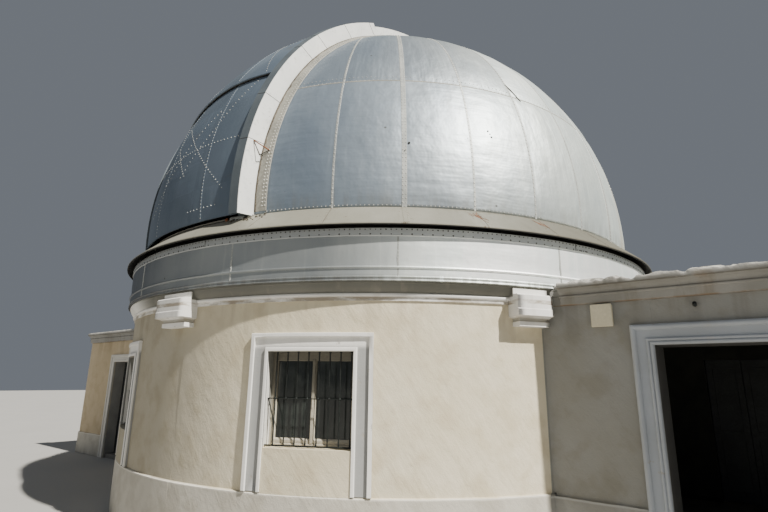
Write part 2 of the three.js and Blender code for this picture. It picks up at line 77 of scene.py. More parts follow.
# %% The dome's own directions
slide_axis = Vector(joints["upper_shutter_slide"]["axis"])
CENTRE = joints["upper_shutter_slide"]["pos_m"][2]
RADIUS = 3.81
SLIT_HALF = 1.235
ALONG = np.array([-slide_axis.y, slide_axis.x, 0.0])
ACROSS = -np.array(slide_axis)
UP = np.array([0.0, 0.0, 1.0])
SLIT_AZIMUTH = math.atan2(ALONG[1], ALONG[0])
MIDDLE = np.array([0.0, 0.0, CENTRE])
BASE_ELEVATION = math.asin((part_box("dome_base_ring")[1].z - CENTRE) / RADIUS)


def arch(t, k, height=0.0):
    """Points at t degrees and k metres across, a height above the dome's sheet."""
    t, k = np.broadcast_arrays(np.radians(np.asarray(t, float)), np.asarray(k, float))
    reach = np.sqrt((RADIUS + height) ** 2 - k * k)
    flat = np.cos(t)[..., None] * ALONG + np.sin(t)[..., None] * UP
    return MIDDLE + reach[..., None] * flat + k[..., None] * ACROSS


def globe(azimuth, elevation, height=0.0):
    """Points on the dome at an azimuth and elevation in radians."""
    azimuth, elevation = np.broadcast_arrays(np.asarray(azimuth, float), np.asarray(elevation, float))
    out = np.stack([np.cos(elevation) * np.cos(azimuth), np.cos(elevation) * np.sin(azimuth),
                    np.sin(elevation)], axis=-1)
    return MIDDLE + (RADIUS + np.asarray(height, float))[..., None] * out


def ring_points(radius, z, azimuths):
    """Points on a level ring about the drum's axis; azimuths are in radians."""
    azimuths = np.asarray(azimuths, float)
    return np.stack([radius * np.cos(azimuths), radius * np.sin(azimuths),
                     np.full(azimuths.shape, float(z))], axis=-1)


def unit(vectors):
    return vectors / np.linalg.norm(vectors, axis=-1, keepdims=True)


print("slit at", round(math.degrees(SLIT_AZIMUTH), 1), "degrees, dome centre at", CENTRE)

# %% [markdown]
# ## The camera
# It stands where the photographer stood: at eye height, close to the drum and looking up. Three directions
# make its matrix: right, up and backwards. The focal length was solved from the building's own lines.

# %% Camera
EYE = Vector((5.3013, -6.8732, 1.6))
HEADING, PITCH, ROLL = math.radians(128.209), math.radians(13.991), math.radians(0.687)
PHOTO_WIDTH = 768
FOCAL_PIXELS = 496.52

ahead = Vector((math.cos(HEADING) * math.cos(PITCH), math.sin(HEADING) * math.cos(PITCH), math.sin(PITCH)))
level = Vector((math.sin(HEADING), -math.cos(HEADING), 0))
above = level.cross(ahead)
right_way = level * math.cos(ROLL) + above * math.sin(ROLL)
up_way = above * math.cos(ROLL) - level * math.sin(ROLL)
lens = bpy.data.cameras.new("camera")
lens.sensor_width = 36
lens.lens = FOCAL_PIXELS / PHOTO_WIDTH * lens.sensor_width
lens.clip_end = 200
camera = add_object("camera", lens)
camera.matrix_world = Matrix.Translation(EYE) @ Matrix((right_way, up_way, -ahead)).transposed().to_4x4()
bpy.context.scene.camera = camera
print("lens", round(lens.lens, 2), "mm")

# %% [markdown]
# ## The floor and the light
# A pale floor and a pale sky give soft light from all round. One sharp sun lamp stands high on the right, as
# the sun did, so the dome's right side is bright and its shadows have clear edges. A second, weak one with a
# wide angle acts as a large soft box that lightens the shade on the courtyard's side.

# %% Floor, lamps and sky
FLOOR_HALF, FLOOR_Z = 60.0, -0.002
SKY_COLOUR, SKY_STRENGTH = (0.72, 0.79, 0.90, 1), 0.22
floor_corners = [(x * FLOOR_HALF, y * FLOOR_HALF, FLOOR_Z) for x, y in ((-1, -1), (1, -1), (1, 1), (-1, 1))]
floor_mesh = bpy.data.meshes.new("studio_floor")
floor_mesh.from_pydata(floor_corners, [], [(0, 1, 2, 3)])
studio_floor = add_object("studio_floor", floor_mesh)


def sun(name, azimuth, elevation, strength, spread, colour):
    """A sun lamp that shines from that azimuth and elevation, in degrees; spread softens its shadows."""
    lamp = bpy.data.lights.new(name, "SUN")
    lamp.energy = strength
    lamp.angle = math.radians(spread)
    lamp.color = colour
    add_object(name, lamp).rotation_euler = (0, math.radians(90 - elevation), math.radians(azimuth))


sun("key_lamp", azimuth=-1, elevation=49, strength=8.4, spread=1.2, colour=(1.0, 0.965, 0.90))
sun("fill_lamp", azimuth=-100, elevation=35, strength=0.12, spread=60, colour=(0.93, 0.96, 1.0))
sky = bpy.data.worlds.new("studio_sky")
sky.use_nodes = True
background = sky.node_tree.nodes["Background"]
background.inputs["Color"].default_value = SKY_COLOUR
background.inputs["Strength"].default_value = SKY_STRENGTH
bpy.context.scene.world = sky

# %% [markdown]
# ## Shader maths that reads as arithmetic
# A finish is a network of small nodes. Written one node at a time it is hard to read, so a small class
# wraps a socket and turns plus, minus and times into Math nodes. `1 - rust` then means what it says.

# %% Field and Finish


def plug(tree, entry, value):
    """Links a socket into an entry, or sets the entry's own value; None leaves it as it is."""
    if isinstance(value, bpy.types.NodeSocket):
        tree.links.new(value, entry)
    elif value is not None:
        entry.default_value = value


def add_node(tree, kind, settings, sockets, out):
    """Adds a node: its settings first, then the values or links of its sockets. Returns one output."""
    made = tree.nodes.new(kind)
    for setting, value in (settings or {}).items():
        setattr(made, setting, value)
    for key, value in (sockets or {}).items():
        plug(tree, made.inputs[key], value)
    return made.outputs[out]


class Field:
    """A value or colour that varies over a surface."""

    def __init__(self, finish, socket):
        self.finish, self.socket = finish, socket

    def __add__(self, other):
        return self.finish.sums("ADD", self, other)

    def __sub__(self, other):
        return self.finish.sums("SUBTRACT", self, other)

    def __rsub__(self, other):
        return self.finish.sums("SUBTRACT", other, self)

    def __mul__(self, other):
        return self.finish.sums("MULTIPLY", self, other)

    def __truediv__(self, other):
        return self.finish.sums("DIVIDE", self, other)

    def __lt__(self, other):
        return self.finish.sums("LESS_THAN", self, other)

    def __gt__(self, other):
        return self.finish.sums("GREATER_THAN", self, other)

    def __abs__(self):
        return self.finish.sums("ABSOLUTE", self)

    __radd__ = __add__
    __rmul__ = __mul__


def shade(code):
    """A paint's colour from its sRGB hex code, as the linear numbers that shaders use."""
    parts = [int(code[i:i + 2], 16) / 255 for i in (0, 2, 4)]
    return tuple(c / 12.92 if c <= 0.04045 else ((c + 0.055) / 1.055) ** 2.4 for c in parts) + (1.0,)


class Finish:
    """One material: a Principled shader and the fields that feed it."""

    def __init__(self, name, **fixed):
        self.material = bpy.data.materials.new(name)
        self.material.use_nodes = True
        self.tree = self.material.node_tree
        self.tree.nodes.clear()
        self.shader = self.tree.nodes.new("ShaderNodeBsdfPrincipled")
        output = self.tree.nodes.new("ShaderNodeOutputMaterial")
        self.tree.links.new(self.shader.outputs[0], output.inputs["Surface"])
        for socket, value in fixed.items():
            self.shader.inputs[socket.replace("_", " ")].default_value = value

    def node(self, kind, settings=None, sockets=None, out=0):
        """A new node's output as a field; its sockets may be fed by fields."""
        bare = {key: getattr(value, "socket", value) for key, value in (sockets or {}).items()}
        return Field(self, add_node(self.tree, kind, settings, bare, out))

    def sums(self, operation, first, second=None):
        return self.node("ShaderNodeMath", {"operation": operation}, {0: first, 1: second})

    def places(self):
        """x, y and z of the surface, in metres."""
        at = self.node("ShaderNodeTexCoord", out="Object")
        split = self.node("ShaderNodeSeparateXYZ", sockets={0: at}).socket.node
        return at, [Field(self, split.outputs[i]) for i in range(3)]

    def point(self, x, y, z):
        return self.node("ShaderNodeCombineXYZ", sockets={0: x, 1: y, 2: z})

    def noise(self, at, scale, detail=4.0, rough=0.55):
        """Cloudy noise from 0 to 1; scale is swells per metre."""
        return self.node("ShaderNodeTexNoise", sockets={
            "Vector": at, "Scale": scale, "Detail": detail, "Roughness": rough})

    def drawn(self, x, y, z, detail=4.0, rough=0.55):
        """Noise that is drawn out: x, y and z come already times their own swells per metre."""
        return self.noise(self.point(x, y, z), 1.0, detail, rough)

    def cells(self, at, scale):
        """Distance to the nearest of many scattered points, for spots."""
        return self.node("ShaderNodeTexVoronoi", sockets={"Vector": at, "Scale": scale})

    def step(self, value, low, high):
        """0 below low, 1 above high and smooth between them; low may be the larger."""
        return self.node("ShaderNodeMapRange", {"interpolation_type": "SMOOTHSTEP"}, {
            0: value, 1: low, 2: high, 3: 0.0, 4: 1.0})

    def blend(self, factor, first, second, how="MIX"):
        """first where factor is 0, second (or, with MULTIPLY, their product) where it is 1."""
        return self.node("ShaderNodeMix", {"data_type": "RGBA", "blend_type": how},
                         {0: factor, 6: first, 7: second}, out=2)

    def coat(self, colour, factor, code):
        """The colour under a coat of paint, which is laid where factor is 1."""
        return self.blend(factor, colour, shade(code))

    def patches(self, value, low, high, first, second):
        """The first paint where value is low, the second where it is high."""
        return self.blend(self.step(value, low, high), shade(first), shade(second))

    def dim(self, colour, amount):
        """The colour times an amount that may vary."""
        grey = self.node("ShaderNodeCombineColor", sockets={0: amount, 1: amount, 2: amount})
        return self.blend(1.0, colour, grey, "MULTIPLY")

    def stain(self, colour, factor, tint):
        """The colour times a tint, where factor is 1."""
        return self.blend(factor, colour, (*tint, 1.0), "MULTIPLY")

    def both(self, *tests):
        """1 where every test holds."""
        return functools.reduce(lambda first, second: first * second, tests)

    def within(self, value, low, high):
        """1 where a value lies between two limits."""
        return self.both(value > low, value < high)

    def reach(self, x, y):
        """Distance from the drum's axis."""
        return self.sums("SQRT", x * x + y * y)

    def feed(self, colour=None, rough=None, metal=None, relief=None):
        """Connects what varies; relief is the surface's height in metres."""
        bump = None
        if relief is not None:
            bump = self.node("ShaderNodeBump", sockets={"Strength": 1.0, "Distance": 1.0, "Height": relief})
        fed = {"Base Color": colour, "Roughness": rough, "Metallic": metal, "Normal": bump}
        for key, value in fed.items():
            plug(self.tree, self.shader.inputs[key], getattr(value, "socket", value))
        return self.material


floor_finish = Finish("studio_floor_paint", Roughness=0.85)
at, _ = floor_finish.places()
mottle = floor_finish.noise(at, 0.6, 3.0)
floor_mesh.materials.append(floor_finish.feed(
    colour=floor_finish.blend(mottle, shade("a3a19c"), shade("adaba6")), rough=0.82 + mottle * 0.06))
print("floor painted")

# %% [markdown]
# ## Stucco, limewash and render
# The drum's wall is cream stucco, laid by hand: its surface swells gently, a trowel has left faint arcs and
# fine grit shows when the light grazes it. Below a line just above the ground it is painted pale grey as a
# plinth. Frames and corbels are limewashed white, and the wing's cornice is bare render, grey and stained.
# Each is a few layers of noise, from broad to fine, and every layer has a size in metres. In the picture the
# wing, the link and the drum's left side stand in shade. The light here has none, so broad stains lay it in.

# %% Stucco
DRUM_PLINTH, LINK_PLINTH, WING_PLINTH = 0.586, 0.42, 0.57
WINDOW_AZIMUTHS = (math.radians(63.2), math.radians(110.8))
WALLS_HALF = 1.97
WING_FROM = 3.44
ROOM_HALF, PASSAGE, PARTY_FACE, ROOM_FROM = 1.508, 3.30, 6.9, 3.5
PORTAL_SIDES, PORTAL_HEAD = (4.430, 6.115), 1.935
LINK_DOOR_SIDES, LINK_DOOR_HEAD = (-5.833, -4.807), 1.908
REVEAL_DEPTH = (1.51, 1.897)
WINDOW_REVEAL = dict(half=0.4305, inner=3.5, face=3.932, sill=0.985, head=1.86)
WING_SHADE, LINK_SHADE = (0.39, 0.43, 0.53), (0.78, 0.71, 0.63)
LEFT_SHADE, LINK_END_SHADE, PLINTH_SHADE = (0.58, 0.585, 0.60), (0.78, 0.77, 0.76), (0.62, 0.65, 0.70)
REVEAL_SHADOW = (0.34, 0.34, 0.32)


def stucco():
    f = Finish("cream_stucco", Roughness=0.9)
    at, (x, y, z) = f.places()
    broad = f.noise(at, 0.9, 3.0)
    middle = f.noise(at, 4.5, 4.0)
    grit = f.noise(at, 85.0, 3.0, 0.7)
    arcs = f.drawn(x * 9 + z * 5, y * 9 + z * 3, z * 3.2 + middle * 1.4, 5.0, 0.6)
    radius = f.reach(x, y)
    drips = f.drawn(x * 6, y * 6, z * 0.55, 4.0)
    wall = f.patches(broad, 0.35, 0.65, "d8cdb1", "e1d7be")
    wall = f.coat(wall, f.step(middle, 0.42, 0.72) * 0.5, "c3b595")
    wall = f.coat(wall, f.step(grit, 0.55, 0.8) * 0.25, "a99a7c")
    under = f.step(z, 1.75, 2.34) * f.step(drips, 0.47, 0.68)
    wall = f.coat(wall, under * 0.35, "a3967c")
    damp = (1 - f.step(z, 0.55, 1.15)) * f.step(middle, 0.35, 0.6)
    wall = f.coat(wall, damp * 0.16, "b7a988")
    # The shade is blue-grey on the wing, tan on the link and grey on the drum's left side.
    beside = abs(y) < WALLS_HALF
    on_wing, on_link = f.both(beside, x > WING_FROM), f.both(beside, x < -WING_FROM)
    wall = f.stain(wall, on_wing, WING_SHADE)
    wall = f.stain(wall, on_link, LINK_SHADE)
    wall = f.stain(wall, f.both(f.step(x, 1.3, 0.0), y < 0, 1 - on_link), LEFT_SHADE)
    wall = f.stain(wall, f.step(x, -1.2, -2.6) * (1 - on_link), LINK_END_SHADE)
    # The plinth is lower on the link and the wing than on the drum.
    top = DRUM_PLINTH + on_wing * (WING_PLINTH - DRUM_PLINTH) + on_link * (LINK_PLINTH - DRUM_PLINTH)
    ragged = z + (middle - 0.5) * 0.018
    below = f.step(ragged - top, 0.004, -0.004)
    plinth = f.patches(middle, 0.38, 0.66, "c4bfb2", "b5afa1")
    # A lighter band along the plinth's top edge is painted highlight, where that edge catches the light.
    lip = below * f.step(ragged - top, -0.024, -0.008)
    plinth = f.coat(plinth, lip * 0.75, "e2ddd0")
    splash = (1 - f.step(z, 0.0, 0.22)) * f.step(drips, 0.35, 0.7)
    plinth = f.coat(plinth, splash * 0.5, "8d8574")
    plinth = f.stain(plinth, on_wing, PLINTH_SHADE)
    colour = f.blend(below, wall, plinth)
    # The reveals of the windows, the portals and the link's door are limewashed like their frames.
    lime = f.patches(middle, 0.35, 0.65, "e3e1da", "d3d1ca")
    for azimuth in WINDOW_AZIMUTHS:
        c, s = math.cos(azimuth), math.sin(azimuth)
        across, outward = abs(y) * c - x * s, x * c + abs(y) * s
        reveal = f.both(abs(across) < WINDOW_REVEAL["half"],
                        f.within(outward, WINDOW_REVEAL["inner"], WINDOW_REVEAL["face"]),
                        f.within(z, WINDOW_REVEAL["sill"], WINDOW_REVEAL["head"]))
        colour = f.blend(reveal, colour, lime)
        # Painted shadow: the head's shadow darkens the upper, inner part of each reveal.
        head_shadow = f.step(z + (3.93 - outward) * 4.7, 1.84, 1.88)
        colour = f.stain(colour, reveal * head_shadow, REVEAL_SHADOW)
    depth = f.within(abs(y), *REVEAL_DEPTH)
    # The portals' and the link door's reveals are dimmed by a factor, as painted shade.
    for sides, head, reveal_shade_dim in ((PORTAL_SIDES, PORTAL_HEAD, 0.10), (LINK_DOOR_SIDES, LINK_DOOR_HEAD, 0.50)):
        reveal = f.both(depth, f.within(x, *sides), z < head)
        colour = f.blend(reveal, colour, f.dim(lime, reveal_shade_dim))
    # The rooms behind the portals and the glazed door are painted dark, as painted shade for the shadow inside
    # them.
    inside = f.both(abs(y) < ROOM_HALF, f.within(abs(x), PASSAGE, PARTY_FACE), radius > ROOM_FROM)
    dark = f.patches(middle, 0.3, 0.7, "33342f", "3f3f39")
    colour = f.blend(inside, colour, dark)
    relief = arcs * 0.0075 + grit * 0.0022 + middle * 0.008
    return f.feed(colour=colour, rough=0.84 + grit * 0.1, relief=relief)


stucco_finish = stucco()
print("finish", stucco_finish.name)

# %% Limewash, render and concrete
LIME_FROM = 3.985
WING_LIME_SHADE, LINK_LIME_SHADE, LEFT_LIME_SHADE = (0.47, 0.51, 0.58), (0.82, 0.81, 0.78), (0.78, 0.77, 0.75)
CORNICE_SHADOW, FIELD_SHADE, CAVETTO_SHADE = (0.20, 0.20, 0.18), (0.41, 0.42, 0.43), (0.50, 0.49, 0.46)
CORNICE_FACE = 4.030


def limewash():
    f = Finish("white_limewash", Roughness=0.85)
    at, (x, y, z) = f.places()
    broad = f.noise(at, 1.6, 3.0)
    brush = f.drawn(x * 3, y * 3, z * 16, 5.0, 0.6)
    pits = f.noise(at, 60.0, 3.0, 0.7)
    colour = f.patches(broad, 0.35, 0.7, "f0eee8", "e2e0da")
    colour = f.coat(colour, f.step(brush, 0.5, 0.75) * 0.35, "f2f1ec")
    # The frames on the wing, on the link and on the drum's left side are darkened as painted shade.
    colour = f.stain(colour, x > LIME_FROM, WING_LIME_SHADE)
    colour = f.stain(colour, x < -LIME_FROM, LINK_LIME_SHADE)
    colour = f.stain(colour, f.step(x, -0.9, -3.0) * (x > -LIME_FROM), LEFT_LIME_SHADE)
    # Painted shade greys the hollow under the band, where the band's shadow falls, the flat field of each window's
    # surround and the corbels' cavetto.
    radius = f.reach(x, y)
    band_shadow = f.both(f.step(z, 2.402, 2.415), radius < CORNICE_FACE, f.step(x, -1.3, -0.4))
    colour = f.stain(colour, band_shadow, CORNICE_SHADOW)
    field = f.both(f.step(radius, 3.9665, 3.9605), f.step(z, 1.93, 1.87), abs(y) > 1.98)
    colour = f.stain(colour, field, FIELD_SHADE)
    cavetto_shade = f.both(f.step(z, 2.162, 2.170), f.step(z, 2.206, 2.198))
    colour = f.stain(colour, cavetto_shade, CAVETTO_SHADE)
    flaked = f.step(f.noise(at, 7.5, 6.0, 0.7), 0.655, 0.69)
    colour = f.coat(colour, flaked * 0.55, "a49d8d")
    dust = f.step(f.drawn(x * 7, y * 7, z * 1.2, 4.0), 0.55, 0.75)
    colour = f.coat(colour, dust * 0.25, "a8a294")
    # Brown dirt lies along the foot of the cornice and in the hollows of the corbels.
    smudge = f.step(f.drawn(x * 3, y * 3, z * 9, 5.0, 0.65), 0.36, 0.60)
    foot = f.step(z, 2.329, 2.340) * f.step(z, 2.383, 2.366)
    hollow = f.step(z, 2.160, 2.172) * f.step(z, 2.226, 2.205)
    colour = f.coat(colour, foot * smudge * 0.75, "7d6b4c")
    colour = f.coat(colour, hollow * smudge * 0.45, "8d7f61")
    relief = brush * 0.0014 + pits * 0.0012 - flaked * 0.0012
    return f.feed(colour=colour, rough=0.78 + pits * 0.14, relief=relief)


def weathered_render():
    f = Finish("weathered_render", Roughness=0.9)
    at, (x, y, z) = f.places()
    broad = f.noise(at, 1.3, 4.0)
    lumps = f.noise(at, 9.0, 6.0, 0.62)
    grit = f.noise(at, 95.0, 3.0, 0.7)
    streak = f.drawn(x * 7, y * 7, z * 0.9, 5.0, 0.6)
    colour = f.patches(broad, 0.36, 0.66, "9a9892", "87857e")
    colour = f.coat(colour, f.step(streak, 0.5, 0.72) * 0.5, "726c60")
    low_line = f.step(z, 2.440, 2.425) * f.step(z, 2.418, 2.428)
    high_line = f.step(z, 2.500, 2.493) * f.step(z, 2.484, 2.490)
    grime = low_line + high_line
    colour = f.coat(colour, grime * f.step(streak, 0.3, 0.5) * 0.6, "4c463b")
    foot = f.step(z, 2.345, 2.332) * f.step(streak, 0.35, 0.6)
    colour = f.coat(colour, foot * 0.7, "7a6145")
    rusty = f.step(f.drawn(x * 2.1 + 7, y * 2.1, z * 0.3, 3.0), 0.62, 0.74)
    colour = f.coat(colour, rusty * 0.45, "8c7557")
    crown = f.step(z, 2.515, 2.548) * f.step(lumps, 0.40, 0.62)
    colour = f.coat(colour, crown * 0.8, "d5d2c8")
    spots = f.step(lumps, 0.66, 0.74)
    colour = f.coat(colour, spots * 0.5, "5d5a53")
    return f.feed(colour=colour, rough=0.85 + grit * 0.1, relief=lumps * 0.008 + grit * 0.0022)


def concrete():
    f = Finish("plain_concrete", Roughness=0.9)
    at, _ = f.places()
    broad = f.noise(at, 1.1, 5.0)
    grit = f.noise(at, 55.0, 4.0, 0.7)
    colour = f.patches(broad, 0.3, 0.7, "6e6b65", "7f7c75")
    colour = f.coat(colour, f.step(grit, 0.55, 0.75) * 0.35, "55534e")
    return f.feed(colour=colour, rough=0.8 + grit * 0.15, relief=grit * 0.002 + broad * 0.003)


lime_finish, render_finish, concrete_finish = limewash(), weathered_render(), concrete()
print("finishes", lime_finish.name, render_finish.name, concrete_finish.name)

# %% [markdown]
# ## Silver sheet
# The dome and the band below it are thin sheets with a coat of aluminium paint. Each sheet took the paint a
# little differently, so the shader works out which sheet a point is on from its azimuth and elevation and
# gives every sheet its own small change of tone. Ripples come from the hammering and the heat: some
# sheets ripple across, others up and down. The yard that real metal mirrors is missing here, so broad
# patches of painted reflection and painted shade carry its light and its dark.

# %% Silver paint
GORE = math.radians(11.45)
RING_SEAM = math.radians(22.9)
STRIP_EDGE = 1.385
BAND_SEAM_FROM, BAND_SEAM_STEP = math.radians(-51.1), math.radians(25.0)
BAND_STRIP_LOW = 2.958
SLIT_SIDE_SHADE, PAINTED_SHINE, CROWN_SHADE = (0.62, 0.71, 0.85), (1.95, 2.0, 1.92), (0.72, 0.76, 0.73)
BAND_SIDE_SHADE, BAND_FRONT_LIGHT = (0.20, 0.22, 0.26), (3.0, 2.97, 2.86)
SHUTTER_SKY_REFLECTION, SHUTTER_TOP_SHEEN = (0.72, 0.86, 1.08), (1.34, 1.32, 1.28)


def turned_about_slit(f, x, y):
    """Azimuth of a point measured from the slit, from -pi to pi."""
    c, s = math.cos(SLIT_AZIMUTH), math.sin(SLIT_AZIMUTH)
    return f.sums("ARCTAN2", y * c - x * s, x * c + y * s)


def metres_across(x, y):
    """k of a point: how far it lies to the near side of the slit's middle."""
    return x * float(ACROSS[0]) + y * float(ACROSS[1])


def sheets(f, kind, x, y, z, turn, rise):
    """Which sheet a point is on (lane, row and hand) and where it lies on it, in metres across and up."""
    if kind == "gores":
        lane = (abs(turn) - math.pi / 2) / GORE
        return lane, (rise > RING_SEAM) * 5.0, (turn > 0) * 60.0, turn * RADIUS, rise * RADIUS
    if kind == "band":
        azimuth = f.sums("ARCTAN2", y, x)
        lane = (azimuth - BAND_SEAM_FROM) / BAND_SEAM_STEP
        lane = f.sums("MINIMUM", f.sums("MAXIMUM", lane, -4.5), 8.5)
        on_strip = z > BAND_STRIP_LOW
        return lane, on_strip * 5.0, on_strip * 9.0, azimuth * 4.04, z
    k = metres_across(x, y)
    return k * 1.35 + 20.5, f.sums("FLOOR", z * 0.8), 3.0, k, z


def silver(name, kind, tone=1.0, metal=0.62, rough_from=0.36):
    """Aluminium paint; kind is 'gores', 'band' or 'shutter', which says how the sheets are parted."""
    f = Finish(name, Metallic=metal)
    at, (x, y, z) = f.places()
    turn = turned_about_slit(f, x, y)
    rise = f.sums("ARCTAN2", z - CENTRE, f.reach(x, y))
    lane, row, hand, across, up = sheets(f, kind, x, y, z, turn, rise)
    sheet = f.sums("FLOOR", lane)
    own = f.node("ShaderNodeTexWhiteNoise", {"noise_dimensions": "3D"}, {0: f.point(sheet, row, hand)})
    inner = f.sums("FRACT", lane)
    edge = f.sums("MINIMUM", inner, 1 - inner)
    broad = f.noise(at, 0.8, 3.0)
    cloud = f.drawn(across * 2.2, up * 0.8, own * 9, 4.0, 0.55)
    wipe = f.drawn(across * 14, up * 1.1, own * 5, 5.0, 0.62)
    speck = f.noise(at, 130.0, 2.0, 0.6)
    colour = f.patches(broad, 0.3, 0.7, "a3a8a8", "b4b8b6")
    colour = f.coat(colour, f.step(cloud, 0.38, 0.72) * 0.45, "8f979c")
    colour = f.coat(colour, f.step(wipe, 0.52, 0.78) * 0.30, "c9ccc8")
    colour = f.dim(colour, (0.90 + own * 0.16 + (speck - 0.5) * 0.08) * tone)
    if kind == "gores":
        # Painted shade darkens the sheets beside the slit and near the crown, and painted light brightens the
        # sheets on the right.
        colour = f.stain(colour, f.step(abs(turn), 1.35, 0.4) * (turn > 0), SLIT_SIDE_SHADE)
        colour = f.stain(colour, f.step(turn, 0.8, 1.7), PAINTED_SHINE)
        colour = f.stain(colour, f.step(rise, 0.65, 1.05), CROWN_SHADE)
    if kind == "band":
        side = abs(f.sums("ARCTAN2", y, x))
        # Painted shade darkens the band where it turns from the key lamp, and painted light brightens it where it
        # faces the lamp.
        colour = f.stain(colour, f.step(side, 1.3, 2.0), BAND_SIDE_SHADE)
        colour = f.stain(colour, f.step(side, 1.1, 0.7), BAND_FRONT_LIGHT)
    spots = f.step(f.cells(at, 2.7), 0.050, 0.026)
    rust = f.step(f.drawn(across * 1.7, up * 1.7, own, 6.0, 0.7), 0.665, 0.74)
    colour = f.coat(colour, rust * 0.45, "7c7362")
    colour = f.coat(colour, spots * 0.75, "4a463f")
    dull = rust * 0.25 + spots * 0.2
    if kind == "gores":
        grime = f.step(edge, 0.05, 0.0) * f.step(wipe, 0.35, 0.6)
        colour = f.coat(colour, grime * 0.35, "77766e")
        far_side = (abs(turn) - math.radians(101.5)) / math.radians(6)
        smear = f.step(abs(far_side), 1.0, 0.2) * f.step(cloud, 0.30, 0.55) * f.step(rise, 0.75, 0.35)
        colour = f.coat(colour, smear * 0.6, "8b7a5f")
        dull = dull + smear * 0.3
        foot = f.step(up, 0.06, -0.14) * f.step(wipe, 0.4, 0.65)
        colour = f.coat(colour, foot * 0.3, "7f7b70")
    if kind == "band":
        strip = f.step(z, BAND_STRIP_LOW - 0.002, BAND_STRIP_LOW + 0.002)
        colour = f.coat(colour, strip * 0.55, "c6c8c5")
        drip = f.step(z, 2.60, 2.53) * f.step(wipe, 0.35, 0.6)
        colour = f.coat(colour, drip * 0.5, "6f6c64")
    if kind == "shutter":
        # A painted sky reflection tints the shutters blue, and a painted sheen lightens their upper part.
        colour = f.stain(colour, 1.0, SHUTTER_SKY_REFLECTION)
        colour = f.stain(colour, f.step(z, 5.3, 6.0), SHUTTER_TOP_SHEEN)
        stain = f.step(f.noise(at, 1.9, 5.0, 0.65), 0.58, 0.70)
        colour = f.coat(colour, stain * 0.35, "6d675a")
    pick = f.step(own, 0.45, 0.6)
    level_wave = f.drawn(across * 1.6, up * 9.5, own * 7, 2.0, 0.5)
    plumb_wave = f.drawn(across * 9.5, up * 1.5, own * 3, 2.0, 0.5)
    waves = level_wave * pick + plumb_wave * (1 - pick)
    dents = f.drawn(across * 4.2, up * 3.4, own * 11, 3.0, 0.5)
    calm = 1.0 if kind == "gores" else 0.45
    relief = waves * (0.0065 * calm) + dents * (0.0125 * calm) + wipe * 0.0004 + speck * 0.00016
    rough = rough_from + cloud * 0.10 + own * 0.06 + wipe * 0.08 + dull
    return f.feed(colour=colour, rough=rough, relief=relief)


dome_finish = silver("silver_dome_sheet", "gores")
band_finish = silver("silver_band_sheet", "band", 0.86)
shutter_finish = silver("silver_shutter_sheet", "shutter", 0.47, 0.50, 0.40)
print("finishes", dome_finish.name, band_finish.name, shutter_finish.name)

# %% Painted metal of the apron, the curbs and the small parts
APRON_RIGHT_SHADE, SASH_SHADE = (0.44, 0.43, 0.39), (0.36, 0.36, 0.35)
RIM_HEIGHT, RIM_FROM, RIM_EDGE, RIM_SLOPE = 3.063, 4.06, 4.114, 0.858


def apron_paint():
    f = Finish("apron_paint", Roughness=0.6, Metallic=0.15)
    at, (x, y, z) = f.places()
    turn = turned_about_slit(f, x, y)
    radius = f.reach(x, y)
    lane = f.sums("FRACT", (abs(turn) - math.pi / 2) / GORE)
    near_joint = f.step(f.sums("MINIMUM", lane, 1 - lane), 0.16, 0.0)
    broad = f.noise(at, 1.4, 4.0)
    drag = f.drawn(turn * 30, radius * 3, 0.0, 5.0, 0.65)
    chip = f.drawn(turn * 60, radius * 26, 2.0, 6.0, 0.7)
    colour = f.patches(broad, 0.35, 0.65, "a9a696", "b6b3a4")
    colour = f.coat(colour, f.step(drag, 0.5, 0.75) * 0.4, "928f80")
    # Painted shade darkens the apron on the right.
    colour = f.stain(colour, f.step(turn, 0.65, 1.25) * f.step(turn, 3.0, 2.6), APRON_RIGHT_SHADE)
    worn = f.step(chip + near_joint * 0.07, 0.635, 0.68)
    colour = f.coat(colour, worn * 0.75, "7d6a52")
    bare = f.step(f.noise(at, 11.0, 5.0, 0.7), 0.66, 0.72)
    colour = f.coat(colour, bare * 0.5, "c9c8c0")
    # Painted shade: the lower half of its rim and its underside are near-black, as they lie in deep shadow.
    rim = f.step(z, RIM_HEIGHT, RIM_HEIGHT - 0.003) * (radius > RIM_FROM)
    underside = f.step(z + (radius - RIM_EDGE) * RIM_SLOPE, RIM_HEIGHT + 0.007, RIM_HEIGHT + 0.004)
    rim_shade = f.sums("MAXIMUM", rim, underside)
    colour = f.blend(rim_shade, f.dim(colour, 0.66), shade("1c1b19"))
    rough = 0.5 + drag * 0.18 + worn * 0.2 + rim_shade * 0.2
    return f.feed(colour=colour, rough=rough, relief=drag * 0.0012 - worn * 0.0006)


def curb_paint():
    f = Finish("curb_paint", Roughness=0.65)
    at, (x, y, _) = f.places()
    k = abs(metres_across(x, y))
    broad = f.noise(at, 2.2, 4.0)
    wear = f.noise(at, 14.0, 6.0, 0.68)
    colour = f.patches(broad, 0.35, 0.68, "eaebe7", "dcdedb")
    colour = f.coat(colour, f.step(wear, 0.54, 0.70) * 0.4, "9d9c95")
    dots = f.step(f.cells(at, 16.0), 0.11, 0.06) * f.step(broad, 0.48, 0.62)
    colour = f.coat(colour, dots * 0.8, "5b564c")
    # The flange is grey beside the white cheek; part of that darkness is painted shade, as the flange lies in
    # shade.
    flange = f.step(k, SLIT_HALF - 0.004, SLIT_HALF - 0.009)
    grey = f.patches(broad, 0.35, 0.65, "5a6267", "666e73")
    colour = f.blend(flange, colour, grey)
    return f.feed(colour=colour, rough=0.56 + wear * 0.16, metal=flange * 0.45, relief=wear * 0.0018)


